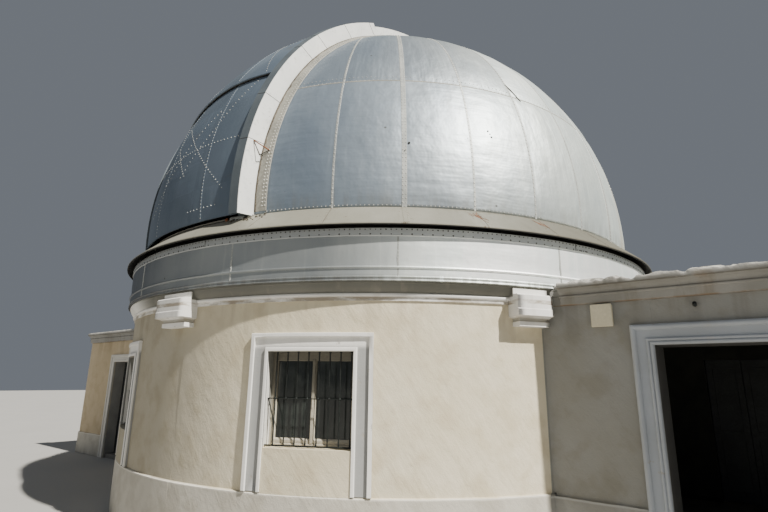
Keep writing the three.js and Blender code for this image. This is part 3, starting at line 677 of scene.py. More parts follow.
def plain_metal(name, first, second, rough, metal, grain=40.0, relief=0.0006, shade_heights=None):
    """Mottled paint or bare metal on a small part. Two heights may be given: from the first to the second and
    above it, the paint darkens as painted shade.
    """
    f = Finish(name, Metallic=metal)
    at, (_, _, z) = f.places()
    broad = f.noise(at, 3.0, 4.0)
    fine = f.noise(at, grain, 4.0, 0.65)
    colour = f.patches(broad * 0.5 + fine * 0.5, 0.40, 0.60, first, second)
    if shade_heights:
        colour = f.stain(colour, f.step(z, *shade_heights), SASH_SHADE)
    return f.feed(colour=colour, rough=rough + fine * 0.14, relief=fine * relief)


apron_finish, curb_finish = apron_paint(), curb_paint()
steel_finish = plain_metal("rolled_steel", "3a3835", "4c4843", 0.55, 0.6)
iron_finish = plain_metal("black_green_iron", "161a18", "262b28", 0.42, 0.35)
# The casements darken towards their heads as painted shade, where the head's shadow falls.
casement_finish = plain_metal("cream_casement_paint", "b3ac9a", "c3bcaa", 0.52, 0.0, shade_heights=(1.30, 1.62))
door_finish = plain_metal("dark_door_paint", "2b2e2e", "3a3d3d", 0.42, 0.2)
rust_finish = plain_metal("rust", "6d3f27", "8f5a39", 0.8, 0.1, 60.0, 0.002)
seal_finish = plain_metal("old_sealant", "4a443a", "6f675a", 0.9, 0.0, 45.0, 0.004)
# This near-black serves for grime in joints and for painted shadow under the upper shutter's lip.
tar_grime_and_shadow_finish = plain_metal("tar_grime_and_painted_shadow", "24221f", "3b3732", 0.85, 0.0, 45.0, 0.002)
trim_finish = plain_metal("seam_trim_paint", "a0a39f", "b7b9b4", 0.48, 0.45)
side_trim_finish = plain_metal("weathered_trim_paint", "8d8b82", "a5a297", 0.62, 0.25, 22.0, 0.0015)
pale_rivet_finish = plain_metal("pale_rivet_paint", "b9bab4", "cdcdc6", 0.45, 0.35)
dark_rivet_finish = plain_metal("dark_rivet_grime", "4b4a46", "63615b", 0.6, 0.35)
box_finish = plain_metal("junction_box_paint", "d0c8ae", "dcd4bb", 0.55, 0.0)


def pane():
    f = Finish("dark_glass", Roughness=0.08, IOR=1.5)
    at, _ = f.places()
    dust = f.noise(at, 5.0, 5.0, 0.6)
    colour = f.patches(dust, 0.4, 0.75, "262a28", "3b403c")
    return f.feed(colour=colour, rough=0.07 + dust * 0.12)


glass_finish = pane()
print("metal and glass finishes made")

# %% [markdown]
# ## Helpers for meshes
# New pieces are built from arrays of points. Two kinds come up again and again: a slab, which is a grid of
# points with a thickness, and a ribbon, which is a thin raised strip along a path, as a cover strip over a
# joint is. A smooth lattice noise shifts points by millimetres so that no surface is perfectly flat.

# %% Noise for shapes


def swells(points, size, seed):
    """Smooth random numbers from -1 to 1 at points; size is the width of one swell in metres."""
    grid = np.asarray(points, float) / size + seed * 17.31
    base = np.floor(grid).astype(np.int64)
    part = grid - base
    part = part * part * (3 - 2 * part)
    total = np.zeros(grid.shape[:-1])
    for corner in itertools.product((0, 1), repeat=3):
        cell = base + np.array(corner)
        code = cell[..., 0] * 73856093 ^ cell[..., 1] * 19349663 ^ cell[..., 2] * 83492791
        code = (code ^ (code >> 13)) * 1274126177 & 0xFFFFFFFF
        value = ((code ^ (code >> 15)) & 0xFFFF) / 32767.5 - 1
        total += value * np.prod(np.where(corner, part, 1 - part), axis=-1)
    return total


print("swells", swells(np.array([[0.1, 0.2, 0.3]]), 0.5, 1).round(3))

# %% Make, settle and join pieces


def soften(mesh, sharp):
    """Soft shading, but for folds of more than sharp degrees."""
    mesh.shade_smooth()
    mesh.set_sharp_from_angle(angle=math.radians(sharp))


def mesh_piece(name, points, faces, finish, sharp=35):
    """A mesh object at the origin, with its finish, and soft shading below a fold of sharp degrees."""
    mesh = bpy.data.meshes.new(name)
    corners = [tuple(p) for p in np.asarray(points, float)]
    mesh.from_pydata(corners, [], [tuple(int(i) for i in face) for face in faces])
    mesh.materials.append(finish)
    soften(mesh, sharp)
    return add_object(name, mesh)


def settle(piece, body, nodes=()):
    """The piece rides on its body and stands for the solids it replaces."""
    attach(piece, body)
    if nodes:
        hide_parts(*nodes)
    return piece


def gather(parts):
    """Joins lists of (points, faces) into one list of points and faces."""
    points, faces, start = [], [], 0
    for own_points, own_faces in parts:
        points.append(np.asarray(own_points, float).reshape(-1, 3))
        faces += [[i + start for i in face] for face in own_faces]
        start += len(points[-1])
    return np.concatenate(points), faces


def net_faces(rows, cols):
    """Four-sided faces between a grid's points."""
    return [(i * cols + j, (i + 1) * cols + j, (i + 1) * cols + j + 1, i * cols + j + 1)
            for i in range(rows - 1) for j in range(cols - 1)]


def slab(outer, inner):
    """Points and faces of a closed slab between two grids of rows by columns."""
    rows, cols = outer.shape[:2]
    half = rows * cols
    faces = []
    for a, b, c, d in net_faces(rows, cols):
        faces += [(a, b, c, d), (a + half, d + half, c + half, b + half)]
    # Four rims close it: each joins one edge of the outer grid to the same edge of the inner one.
    left = [i * cols for i in range(rows)]
    right = [a + cols - 1 for a in left]
    first, last = list(range(cols)), list(range(half - cols, half))
    for edge in (left, right[::-1], first[::-1], last):
        faces += [(a, a + half, b + half, b) for a, b in zip(edge, edge[1:])]
    return np.concatenate([outer.reshape(-1, 3), inner.reshape(-1, 3)]), faces


def tube_faces(count, around, closed=False):
    """Faces between rings of points; a tube that isn't closed gets a cap at both ends."""
    faces = []
    for i in range(count if closed else count - 1):
        j = (i + 1) % count
        for a in range(around):
            b = (a + 1) % around
            faces.append((i * around + a, i * around + b, j * around + b, j * around + a))
    if not closed:
        faces += [tuple(reversed(range(around))), tuple(range((count - 1) * around, count * around))]
    return faces


def ribbon(path, outward, half_width, low, high):
    """A raised strip along a path: low and high are its underside and top above the path."""
    path = np.asarray(path, float)
    outward = unit(np.asarray(outward, float))
    sideways = unit(np.cross(np.gradient(path, axis=0), outward))
    width = np.broadcast_to(np.asarray(half_width, float), (len(path),))[:, None]
    chamfer = np.minimum(width * 0.3, (high - low) * 0.4)
    corners = [path - sideways * width + outward * low,
               path - sideways * width + outward * (high - chamfer),
               path - sideways * (width - chamfer) + outward * high,
               path + sideways * (width - chamfer) + outward * high,
               path + sideways * width + outward * (high - chamfer),
               path + sideways * width + outward * low]
    return np.stack(corners, axis=1).reshape(-1, 3), tube_faces(len(path), len(corners))


def outward_fix(piece):
    """Turns every face of a closed mesh outwards."""
    work = bmesh.new()
    work.from_mesh(piece.data)
    bmesh.ops.recalc_face_normals(work, faces=work.faces)
    work.to_mesh(piece.data)
    work.free()
    return piece


def piece_of(name, parts, finish, body, nodes=(), sharp=35):
    """One settled piece from a list of (points, faces)."""
    points, faces = gather(parts)
    return settle(outward_fix(mesh_piece(name, points, faces, finish, sharp)), body, nodes)


print("slab and ribbon ready")

# %% [markdown]
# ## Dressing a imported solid
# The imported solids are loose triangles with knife-sharp edges and rings of 72 flat facets. A copy is merged,
# its sharp edges get a small bevel, and it is cut into a finer net. Then each point of a ring is pushed out
# from its facet's chord to the true circle, and soft swells make the surface look laid by hand. Where two
# segments of the wall meet, the edges stay sharp, or each joint would show as a dark line.

# %% Copy, bevel, slice and round
MERGE = 0.00005
FACET = math.radians(5)


def merged(node):
    """A copy of a solid with its points merged and its flat faces joined."""
    work = bmesh.new()
    work.from_mesh(frame["nodes"][node].data)
    bmesh.ops.remove_doubles(work, verts=work.verts[:], dist=MERGE)
    bmesh.ops.dissolve_limit(work, angle_limit=math.radians(0.3), verts=work.verts[:], edges=work.edges[:])
    return work


def on_joint(face):
    """Whether a face lies in an upright plane through the drum's axis, where two segments of wall meet."""
    return abs(face.normal.z) < 0.01 and abs(face.normal.dot(face.calc_center_median())) < 0.004


def ease_edges(work, width, fold=32):
    """Bevels the edges that fold more than fold degrees, but for those where two segments meet."""
    sharp = [e for e in work.edges if len(e.link_faces) == 2 and e.calc_face_angle(0) > math.radians(fold)
             and not any(on_joint(face) for face in e.link_faces)]
    bmesh.ops.bevel(work, geom=sharp, offset=width, segments=2, profile=0.6, affect="EDGES",
                    clamp_overlap=True)


def cut(work, point, normal):
    bmesh.ops.bisect_plane(work, geom=work.verts[:] + work.edges[:] + work.faces[:], dist=MERGE,
                           plane_co=point, plane_no=normal)


def slice_straight(work, axis, step):
    """Cuts a mesh by planes at every step along an axis."""
    values = [v.co[axis] for v in work.verts]
    normal = Vector([1.0 if i == axis else 0.0 for i in range(3)])
    for i in range(math.ceil(min(values) / step), math.floor(max(values) / step) + 1):
        cut(work, normal * (i * step), normal)


def slice_round(work, phase, parts):
    """Cuts a ring by upright planes through the axis, parts to each facet."""
    angles = [math.atan2(v.co.y, v.co.x) for v in work.verts]
    middle = math.atan2(sum(math.sin(a) for a in angles), sum(math.cos(a) for a in angles))
    spread = [abs((a - middle + math.pi) % (2 * math.pi) - math.pi) for a in angles]
    whole = max(spread) > math.radians(100)
    count = round(math.pi / FACET) if whole else round(2 * math.pi / FACET)
    for i in range(count):
        for part in range(1, parts):
            angle = phase + (i + part / parts) * FACET
            away = abs((angle - middle + math.pi) % (2 * math.pi) - math.pi)
            if whole or away < max(spread):
                cut(work, Vector((0, 0, 0)), Vector((-math.sin(angle), math.cos(angle), 0)))


def round_out(work, phase):
    """Moves points from a facet's chord to the circle that the facets stand for."""
    for vert in work.verts:
        angle = math.atan2(vert.co.y, vert.co.x) - phase
        off = angle % FACET - FACET / 2
        grow = math.cos(off) / math.cos(FACET / 2)
        vert.co.x *= grow
        vert.co.y *= grow


def sway(work, amount, size, seed, way):
    """Shifts points by soft swells, outwards from the axis ('out') or along y or z."""
    points = np.array([v.co for v in work.verts])
    shift = swells(points, size, seed) * amount + swells(points, size * 0.37, seed + 5) * amount * 0.4
    for vert, by in zip(work.verts, shift):
        if way == "out":
            flat = Vector((vert.co.x, vert.co.y, 0)).normalized()
            vert.co += flat * by
        elif way == "y":
            vert.co.y += by
        else:
            vert.co.z += by


def stand_in(work, node, finish, sharp):
    """Turns the worked mesh into a piece that stands for its solid."""
    mesh = bpy.data.meshes.new("dressed_" + node)
    work.to_mesh(mesh)
    work.free()
    mesh.materials.clear()
    mesh.materials.append(finish)
    soften(mesh, sharp)
    return settle(add_object("dressed_" + node, mesh), body_of[node], [node])


def dress(node, finish, bevel=0.006, phase=None, parts=3, steps=(), amount=0.0, size=0.5, way="out"):
    """Replaces a solid by a finer copy with its finish, and returns the copy."""
    work = merged(node)
    if bevel:
        ease_edges(work, bevel)
    for axis, step in steps:
        slice_straight(work, axis, step)
    if phase is not None:
        slice_round(work, phase, parts)
        round_out(work, phase)
    if amount:
        sway(work, amount, size, len(node), way)
    piece = stand_in(work, node, finish, 38)
    piece.modifiers.new("even_shading", "WEIGHTED_NORMAL").keep_sharp = True
    return piece


print("helpers for dressing ready")

# %% [markdown]
# ## Masonry
# The drum's wall is in six segments that meet under the windows and behind the wing and the link. Each
# segment's swells come from a noise seeded by the length of its name.

# %% Drum, cornice and frames
for side in ("front_right", "front_left", "back_left", "back_right", "right", "left"):
    dress(f"drum_wall_{side}", stucco_finish, phase=0.0, steps=[(2, 0.14)], amount=0.0035, size=0.7)
for side in ("front", "back"):
    dress(f"cornice_{side}", lime_finish, bevel=0.004, phase=0.0, amount=0.0025)
for number in range(1, 5):
    dress(f"window_surround_{number}", lime_finish, bevel=0.011, phase=0.0, steps=[(2, 0.2)],
          amount=0.002, size=0.4)
print("drum dressed")

# %% Wing and link
FLAT_WALL = dict(steps=[(0, 0.15), (2, 0.15)], amount=0.003, size=0.8, way="y")
FLAT_FRAME = dict(steps=[(2, 0.18)], amount=0.0025, size=0.5, way="y")
for place in ("front", "back"):
    for part in ("pier_near", "pier_far", "lintel"):
        dress(f"wing_{place}_{part}", stucco_finish, bevel=0.0, **FLAT_WALL)
    dress(f"wing_{place}_surround", lime_finish, bevel=0.006, **FLAT_FRAME)
for node in ("link_front_pier_far", "link_front_pier_near", "link_back_wall"):
    dress(node, stucco_finish, bevel=0.007, **FLAT_WALL)
dress("link_front_lintel", stucco_finish, bevel=0.0, **FLAT_WALL)
dress("link_door_surround", lime_finish, bevel=0.005, **FLAT_FRAME)
for node in ("wing_party_wall", "link_party_wall"):
    dress(node, stucco_finish)
print("wing and link dressed")

# %% [markdown]
# ## Roofs with crumbled edges
# The wing's cornice is bare render. Rain has eaten its top edge, so the line against the sky is ragged and
# small lumps stand out. The copy is sliced closely along the wing, and only the points near the top edge are
# pushed down and in by a sharp noise.

# %% Roofs
ROOF_EDGE_Y, ROOF_TOP = 1.905, 2.55
ROOF_SLICE, FALL_DEPTH = 0.022, 0.036
ROOF_LINES = (1.80, 1.85, 1.90, 1.93, 1.98, 2.00)
WORN_TO = 5.3


def crumble(work, depth):
    points = np.array([v.co for v in work.verts])
    near_top = np.clip((points[:, 2] - (ROOF_TOP - 0.055)) / 0.05, 0, 1)
    near_edge = np.clip((np.abs(points[:, 1]) - (ROOF_EDGE_Y - 0.12)) / 0.1, 0, 1)
    # Far from the drum the edge is better kept.
    broken = 0.12 + 0.88 * np.clip((WORN_TO - np.abs(points[:, 0])) / 0.6, 0, 1)
    rough = np.clip(0.8 * swells(points, 0.13, 3) + 0.9 * swells(points, 0.045, 8), -0.5, 1.2)
    fall = near_top * near_edge * rough * depth * broken
    fine = swells(points, 0.35, 12) * 0.003
    for vert, down, sideways in zip(work.verts, fall, fine):
        vert.co.z -= down
        vert.co.y += sideways - math.copysign(down * 0.5, vert.co.y)


def roof(node):
    work = merged(node)
    ease_edges(work, 0.005, 25)
    slice_straight(work, 0, ROOF_SLICE)
    for y in ROOF_LINES:
        cut(work, Vector((0, y, 0)), Vector((0, 1, 0)))
        cut(work, Vector((0, -y, 0)), Vector((0, 1, 0)))
    crumble(work, FALL_DEPTH)
    return stand_in(work, node, render_finish, 40)


wing_roof, link_roof = roof("wing_roof"), roof("link_roof")
print("roof faces", len(wing_roof.data.polygons), len(link_roof.data.polygons))

# %% Solids that keep their own mesh
for node, finish in (("floor_slab", concrete_finish), ("ring_beam", concrete_finish),
                     ("track_rail", steel_finish), ("dome_base_ring", steel_finish)):
    solid = frame["nodes"][node]
    solid.data.materials.clear()
    solid.data.materials.append(finish)
print("slab, beam, rail and base ring painted")

# %% [markdown]
# ## The metal band and the apron
# Both are rings of thin sheet. They are dressed like the masonry, with finer cuts and a small wobble, since
# a lamp's reflection shows every dent in metal.

# %% Band and apron
band = dress("drum_band", band_finish, bevel=0.002, phase=0.0, parts=4, amount=0.0022, size=0.42)
dress("dome_apron", apron_finish, bevel=0.002, phase=SLIT_AZIMUTH, parts=4, amount=0.0025)
for curb in ("curb_near", "curb_far"):
    dress(curb, curb_finish, bevel=0.003, amount=0.0012, size=0.3, way="z")
print("band faces", len(band.data.polygons))

# %% [markdown]
# ## The dome's sheets
# Each half of the dome is one grid of points on the sphere. Between two seams a sheet bulges a little, as a
# pillow does, and it is rippled. Grid points that fall inside the slit are cut away by one plane, and
# Solidify gives the sheet its thickness, so its rims are closed.

# %% Height of the sheets
SHEET_THICK = 0.018
PILLOW = 0.007


def sheet_height(points, turn, elevation):
    """How far each point stands off the sphere: pillows, ripples and dents that vanish at the seams."""
    lane = (np.abs(turn) - math.pi / 2) / GORE
    part = lane - np.floor(lane)
    row = (elevation > RING_SEAM).astype(int)
    to_ring = np.abs(elevation - RING_SEAM) * RADIUS
    to_foot = np.abs(elevation - BASE_ELEVATION) * RADIUS
    to_strip = np.clip(RADIUS * np.cos(elevation) * np.abs(np.sin(turn)) - STRIP_EDGE + 0.01, 0, None)
    free = np.sin(math.pi * part) ** 0.6 * (1 - np.exp(-(to_ring / 0.07) ** 2))
    free = free * (1 - np.exp(-(to_foot / 0.09) ** 2)) * (1 - np.exp(-(to_strip / 0.09) ** 2))
    code = (np.floor(lane).astype(int) * 7 + row * 31 + (turn > 0) * 57) % 97
    taste = (np.sin(code * 12.9898) * 43758.5453) % 1.0
    across = np.stack([turn * RADIUS / 0.55, elevation * RADIUS / 0.15, code * 3.7], axis=-1)
    plumb = np.stack([turn * RADIUS / 0.15, elevation * RADIUS / 0.75, code * 5.1], axis=-1)
    waves = np.where(taste > 0.5, swells(across, 1.0, 21), swells(plumb, 1.0, 22))
    dents = swells(points, 0.30, 23)
    return PILLOW * free + free * (0.0020 * waves + 0.0032 * dents)


print("gore width", round(GORE * RADIUS, 3), "m")

# %% Right, left and rear sheets
GRID_STEP = math.radians(0.55)
GRID_SIDES, GRID_TOP, GRID_ROWS = (math.radians(16.5), math.radians(163.5)), math.radians(72), 136
REAR_FROM, REAR_HALF = 100, 1.1297
REAR_TO = 180 - math.degrees(BASE_ELEVATION)
NET_T, NET_K = 0.8, 0.05


def dome_side(name, hand, nodes):
    rises = np.linspace(BASE_ELEVATION + 0.0001, GRID_TOP, GRID_ROWS)
    turn, rise = np.meshgrid(np.arange(*GRID_SIDES, GRID_STEP), rises, indexing="ij")
    flat = globe(SLIT_AZIMUTH + hand * turn, rise)
    height = sheet_height(flat, hand * turn, rise)
    points = globe(SLIT_AZIMUTH + hand * turn, rise, height)
    faces = [quad if hand > 0 else quad[::-1] for quad in net_faces(*points.shape[:2])]
    piece = mesh_piece(name, points.reshape(-1, 3), faces, dome_finish, sharp=60)
    work = bmesh.new()
    work.from_mesh(piece.data)
    bmesh.ops.bisect_plane(work, geom=work.verts[:] + work.edges[:] + work.faces[:], dist=MERGE,
                           plane_co=Vector(MIDDLE + ACROSS * hand * (SLIT_HALF + 0.0003)),
                           plane_no=Vector(ACROSS) * hand, clear_inner=True)
    work.to_mesh(piece.data)
    work.free()
    thick = piece.modifiers.new("sheet_thickness", "SOLIDIFY")
    thick.thickness = SHEET_THICK
    thick.offset = -1
    return settle(piece, "dome", nodes)


right_sheets = dome_side("dome_sheets_right", 1, ["shell_right_front", "shell_right_back"])
left_sheets = dome_side("dome_sheets_left", -1, ["shell_left_front", "shell_left_back"])


def turn_and_rise(points):
    """Azimuth from the slit and elevation of points, in radians."""
    local = points - MIDDLE
    height = local[..., 2] / np.linalg.norm(local, axis=-1)
    return np.arctan2(local @ ACROSS, local @ ALONG), np.arcsin(np.clip(height, -1, 1))


def arch_slab(t_from, t_to, k_half, low, high, bumps):
    """A curved slab over the slit between two heights, with bumps added to both of its faces."""
    t = np.linspace(t_from, t_to, int((t_to - t_from) / NET_T))
    k = np.linspace(-k_half, k_half, int(2 * k_half / NET_K))
    tt, kk = np.meshgrid(t, k, indexing="ij")
    lift = bumps(tt, kk)
    return slab(arch(tt, kk, high + lift), arch(tt, kk, low + lift))


def rear_bumps(t, k):
    """The rear sheet's ripples, which die out at its sides."""
    points = arch(t, k)
    turn, rise = turn_and_rise(points)
    edge = np.clip((1.12 - np.abs(k)) / 0.06, 0, 1)
    return sheet_height(points, turn, rise) * edge


rear = arch_slab(REAR_FROM, REAR_TO - 0.01, REAR_HALF, -SHEET_THICK, 0.0, rear_bumps)
rear_sheet = piece_of("dome_sheet_rear", [rear], dome_finish, "dome", ["shell_rear"], 60)
print("dome sheets", [len(sheet.data.polygons) for sheet in (right_sheets, left_sheets, rear_sheet)])

# %% [markdown]
# ## The two shutters
# Each shutter is a curved slab that runs up and over between the curbs. The upper one rides higher, so its
# front lip casts a dark line where it overlaps the lower one. Their sheets hang between riveted seams.

# %% Shutters
LOWER = dict(t=(-2.99, 29.49), half=1.1695, low=0.0985, high=0.1165)
UPPER = dict(t=(28.01, 100.99), half=1.1995, low=0.1295, high=0.154)


def shutter_bumps(t, k):
    """Shallow dents that die out at the shutter's sides."""
    points = arch(t, k)
    rim = np.clip((1.16 - np.abs(k)) / 0.08, 0, 1)
    return rim * (0.0024 * swells(points, 0.5, 31) + 0.0012 * swells(points, 0.19, 32))


def shutter(name, spec, body, node):
    skin = arch_slab(*spec["t"], spec["half"], spec["low"], spec["high"], shutter_bumps)
    return piece_of(name, [skin], shutter_finish, body, [node], 50)


lower_shutter = shutter("lower_shutter_sheet", LOWER, "lower_shutter", "shutter_lower")
upper_shutter = shutter("upper_shutter_sheet", UPPER, "upper_shutter", "shutter_upper")
print("shutters", len(lower_shutter.data.polygons), len(upper_shutter.data.polygons))

# %% [markdown]
# ## Small shapes for small parts
# A rod is a tube along a path, for bars and stays. A mitred frame is one closed ring whose four corners are
# cut at 45 degrees, as a joiner cuts them. A block is a box with its own corners, and a lump is a small ball
# that noise has battered, for crumbs of mortar.

# %% Rod, mitred frame, block and lump


def rod(path, radius, sides=8):
    """Points and faces of a closed tube along a path."""
    path = np.asarray(path, float)
    way = unit(np.gradient(path, axis=0))
    guide = UP if abs(way[0][2]) < 0.8 else np.array([1.0, 0.0, 0.0])
    first = unit(np.cross(way, guide))
    second = np.cross(way, first)
    turns = np.linspace(0, 2 * math.pi, sides, endpoint=False)[None, :, None]
    width = np.broadcast_to(np.asarray(radius, float), (len(path),))[:, None, None]
    points = path[:, None] + width * (np.cos(turns) * first[:, None] + np.sin(turns) * second[:, None])
    return points.reshape(-1, 3), tube_faces(len(path), sides)


def mitred_frame(middle, half_width, low, high, section, foot=1.0):
    """A frame in the y-z plane; section lists (inset, depth) round its bar, foot widens the lowest bar."""
    points = []
    for side, top in ((-1, 0), (1, 0), (1, 1), (-1, 1)):
        for inset, depth in section:
            z = high - inset if top else low + inset * foot
            points.append((depth, middle + side * (half_width - inset), z))
    return np.array(points), tube_faces(4, len(section), closed=True)


def block(x, y, z):
    """A box from three pairs of limits."""
    faces = [(0, 1, 3, 2), (4, 6, 7, 5), (0, 4, 5, 1), (2, 3, 7, 6), (0, 2, 6, 4), (1, 5, 7, 3)]
    return np.array(list(itertools.product(x, y, z)), float), faces


def lump(middle, size, seed):
    """A battered ball; size is its three half widths."""
    work = bmesh.new()
    bmesh.ops.create_icosphere(work, subdivisions=2, radius=1.0)
    ball = np.array([v.co for v in work.verts])
    faces = [[v.index for v in face.verts] for face in work.faces]
    work.free()
    ball = ball * (1 + 0.35 * swells(ball, 0.9, seed))[:, None]
    return np.asarray(middle) + ball * np.asarray(size), faces


def turned(points, azimuth):
    """Turns points from a window's own frame, with x outwards, to its place on the drum."""
    c, s = math.cos(azimuth), math.sin(azimuth)
    points = np.asarray(points, float)
    return np.stack([points[..., 0] * c - points[..., 1] * s, points[..., 0] * s + points[..., 1] * c,
                     points[..., 2]], axis=-1)


print("block corners", len(block((0, 1), (0, 1), (0, 1))[0]))

# %% [markdown]
# ## Growing repeated parts with Geometry Nodes
# The dome has some nine thousand rivets, and each grille has a row of bars with a knob on every one. They
# are grown by node trees, which are written here like a recipe. The named sizes are the tree's inputs, so a
# spacing can be changed in one place. The result is turned into a plain mesh before it becomes a piece.

# %% Recipes


class Recipe:
    """A Geometry Nodes tree: named sizes go in and geometry comes out."""

    def __init__(self, name, **sizes):
        self.tree = bpy.data.node_groups.new(name, "GeometryNodeTree")
        face = self.tree.interface
        face.new_socket("Geometry", in_out="INPUT", socket_type="NodeSocketGeometry")
        face.new_socket("Geometry", in_out="OUTPUT", socket_type="NodeSocketGeometry")
        for label, value in sizes.items():
            kind = "NodeSocketInt" if isinstance(value, int) else "NodeSocketFloat"
            face.new_socket(label, in_out="INPUT", socket_type=kind).default_value = value
        self.start = self.tree.nodes.new("NodeGroupInput")
        self.end = self.tree.nodes.new("NodeGroupOutput")

    def size(self, label):
        return self.start.outputs[label]

    def add(self, kind, settings=None, sockets=None, out=0):
        return add_node(self.tree, kind, settings, sockets, out)

    def times(self, socket, factor):
        return self.add("ShaderNodeMath", {"operation": "MULTIPLY"}, {0: socket, 1: factor})

    def lifted(self, shape, height):
        """The shape, moved up by a height."""
        way = self.add("ShaderNodeCombineXYZ", sockets={2: height})
        return self.add("GeometryNodeTransform", sockets={"Geometry": shape, "Translation": way})

    def serve(self, geometry, finish):
        real = self.add("GeometryNodeRealizeInstances", sockets={0: geometry})
        painted = self.add("GeometryNodeSetMaterial", sockets={"Geometry": real, "Material": finish})
        self.tree.links.new(painted, self.end.inputs[0])
        return self


def grow(source, recipe, **sizes):
    """Runs a recipe on an object and returns the plain mesh that it makes."""
    modifier = source.modifiers.new("recipe", "NODES")
    modifier.node_group = recipe.tree
    for item in recipe.tree.interface.items_tree:
        if item.item_type == "SOCKET" and item.in_out == "INPUT" and item.name in sizes:
            modifier[item.identifier] = sizes[item.name]
    shown = source.evaluated_get(bpy.context.evaluated_depsgraph_get())
    mesh = bpy.data.meshes.new_from_object(shown)
    source.modifiers.remove(modifier)
    return mesh


def mesh_parts(mesh):
    """The points and faces of a mesh, to be gathered with others."""
    points = np.empty(len(mesh.vertices) * 3)
    mesh.vertices.foreach_get("co", points)
    return points.reshape(-1, 3), [list(face.vertices) for face in mesh.polygons]


print("recipes ready")

# %% [markdown]
# ## Windows
# Each window has a fixed frame, a rail at its head, two casements with a cover strip and a latch where they
# meet, and dark panes. In front of it stands an iron grille: eight upright bars, a thin bar across with a
# knob on each upright, a bar along the sill and a stay at the left. The window is drawn once, facing along x,
# and turned to its four places.

# %% Casements and panes
WINDOW_HALF, SILL, HEAD = 0.4275, 0.9755, 1.8545
FRAME_BAR, SASH_BAR, HEAD_RAIL = 0.030, 0.021, 0.034
CLEAR_HALF = WINDOW_HALF - FRAME_BAR
SASH_FOOT, SASH_TOP = SILL + 0.031, HEAD - 0.031 - HEAD_RAIL
RAIL_DEPTH, COVER_DEPTH, PANE_DEPTH = (3.750, 3.796), (3.784, 3.802), (3.762, 3.767)
LATCH_DEPTH, LATCH_HEIGHTS = 3.806, (1.33, 1.37, 1.41)

fixed_section = [(0, 3.747), (0, 3.799), (0.024, 3.799), (FRAME_BAR, 3.793), (FRAME_BAR, 3.747)]
sash_section = [(0, 3.753), (0, 3.790), (0.013, 3.790), (SASH_BAR, 3.778), (SASH_BAR, 3.753)]
sash_half = CLEAR_HALF / 2 - 0.001
woodwork = [mitred_frame(0, WINDOW_HALF, SILL, HEAD, fixed_section)]
panes = []
for side in (-1, 1):
    middle = side * CLEAR_HALF / 2
    woodwork.append(mitred_frame(middle, sash_half, SASH_FOOT, SASH_TOP, sash_section, 2.1))
    pane_sides = (middle - sash_half + 0.010, middle + sash_half - 0.010)
    panes.append(block(PANE_DEPTH, pane_sides, (SILL + 0.05, SASH_TOP - 0.014)))
woodwork.append(block(RAIL_DEPTH, (-CLEAR_HALF, CLEAR_HALF), (SASH_TOP, HEAD - 0.029)))
woodwork.append(block(COVER_DEPTH, (-0.016, 0.012), (SASH_FOOT + 0.001, SASH_TOP - 0.002)))
woodwork.append(rod([(LATCH_DEPTH, -0.002, z) for z in LATCH_HEIGHTS], 0.007, 6))
window_turns = [math.radians(a) for a in (-63.2, -110.8, 110.8, 63.2)]


def at_window(parts, azimuth):
    """The parts of one window, turned to a window's place."""
    return [(turned(points, azimuth), faces) for points, faces in parts]


for number, azimuth in enumerate(window_turns, 1):
    piece = piece_of(f"casements_{number}", at_window(woodwork, azimuth), casement_finish, "building",
                     [f"window_{number}"])
    soft = piece.modifiers.new("eased_edges", "BEVEL")
    soft.width, soft.segments = 0.0025, 2
    piece_of(f"panes_{number}", at_window(panes, azimuth), glass_finish, "building")
print("casement", round(sash_half * 2, 3), "m wide")

# %% Iron grilles
GRILLE_BARS, GRILLE_FACE = 8, 3.878
GRILLE_GAP = 0.1069
FIRST_BAR = -0.352
CROSS_BAR, GRILLE_FOOT, GRILLE_TOP = 1.416, 0.985, 1.852


def grille_recipe():
    recipe = Recipe("window_grille", Bars=7, Gap=0.1, Height=0.9, Bar=0.007, Knob=0.013, Knob_Height=0.4)
    step = recipe.add("ShaderNodeCombineXYZ", sockets={1: recipe.size("Gap")})
    feet = recipe.add("GeometryNodeMeshLine", {"mode": "OFFSET"}, {
        "Count": recipe.size("Bars"), "Offset": step})
    bar = recipe.add("GeometryNodeMeshCylinder", {"fill_type": "NGON"},
                     {"Vertices": 8, "Radius": recipe.size("Bar"), "Depth": recipe.size("Height")})
    ball = recipe.add("GeometryNodeMeshUVSphere", sockets={
        "Segments": 8, "Rings": 6, "Radius": recipe.size("Knob")})
    raised = recipe.lifted(bar, recipe.times(recipe.size("Height"), 0.5))
    knob = recipe.lifted(ball, recipe.size("Knob_Height"))
    collar = recipe.lifted(ball, recipe.size("Height"))
    both = recipe.tree.nodes.new("GeometryNodeJoinGeometry")
    for shape in (raised, knob, collar):
        placed = recipe.add("GeometryNodeInstanceOnPoints", sockets={"Points": feet, "Instance": shape})
        recipe.tree.links.new(placed, both.inputs[0])
    return recipe.serve(both.outputs[0], iron_finish)


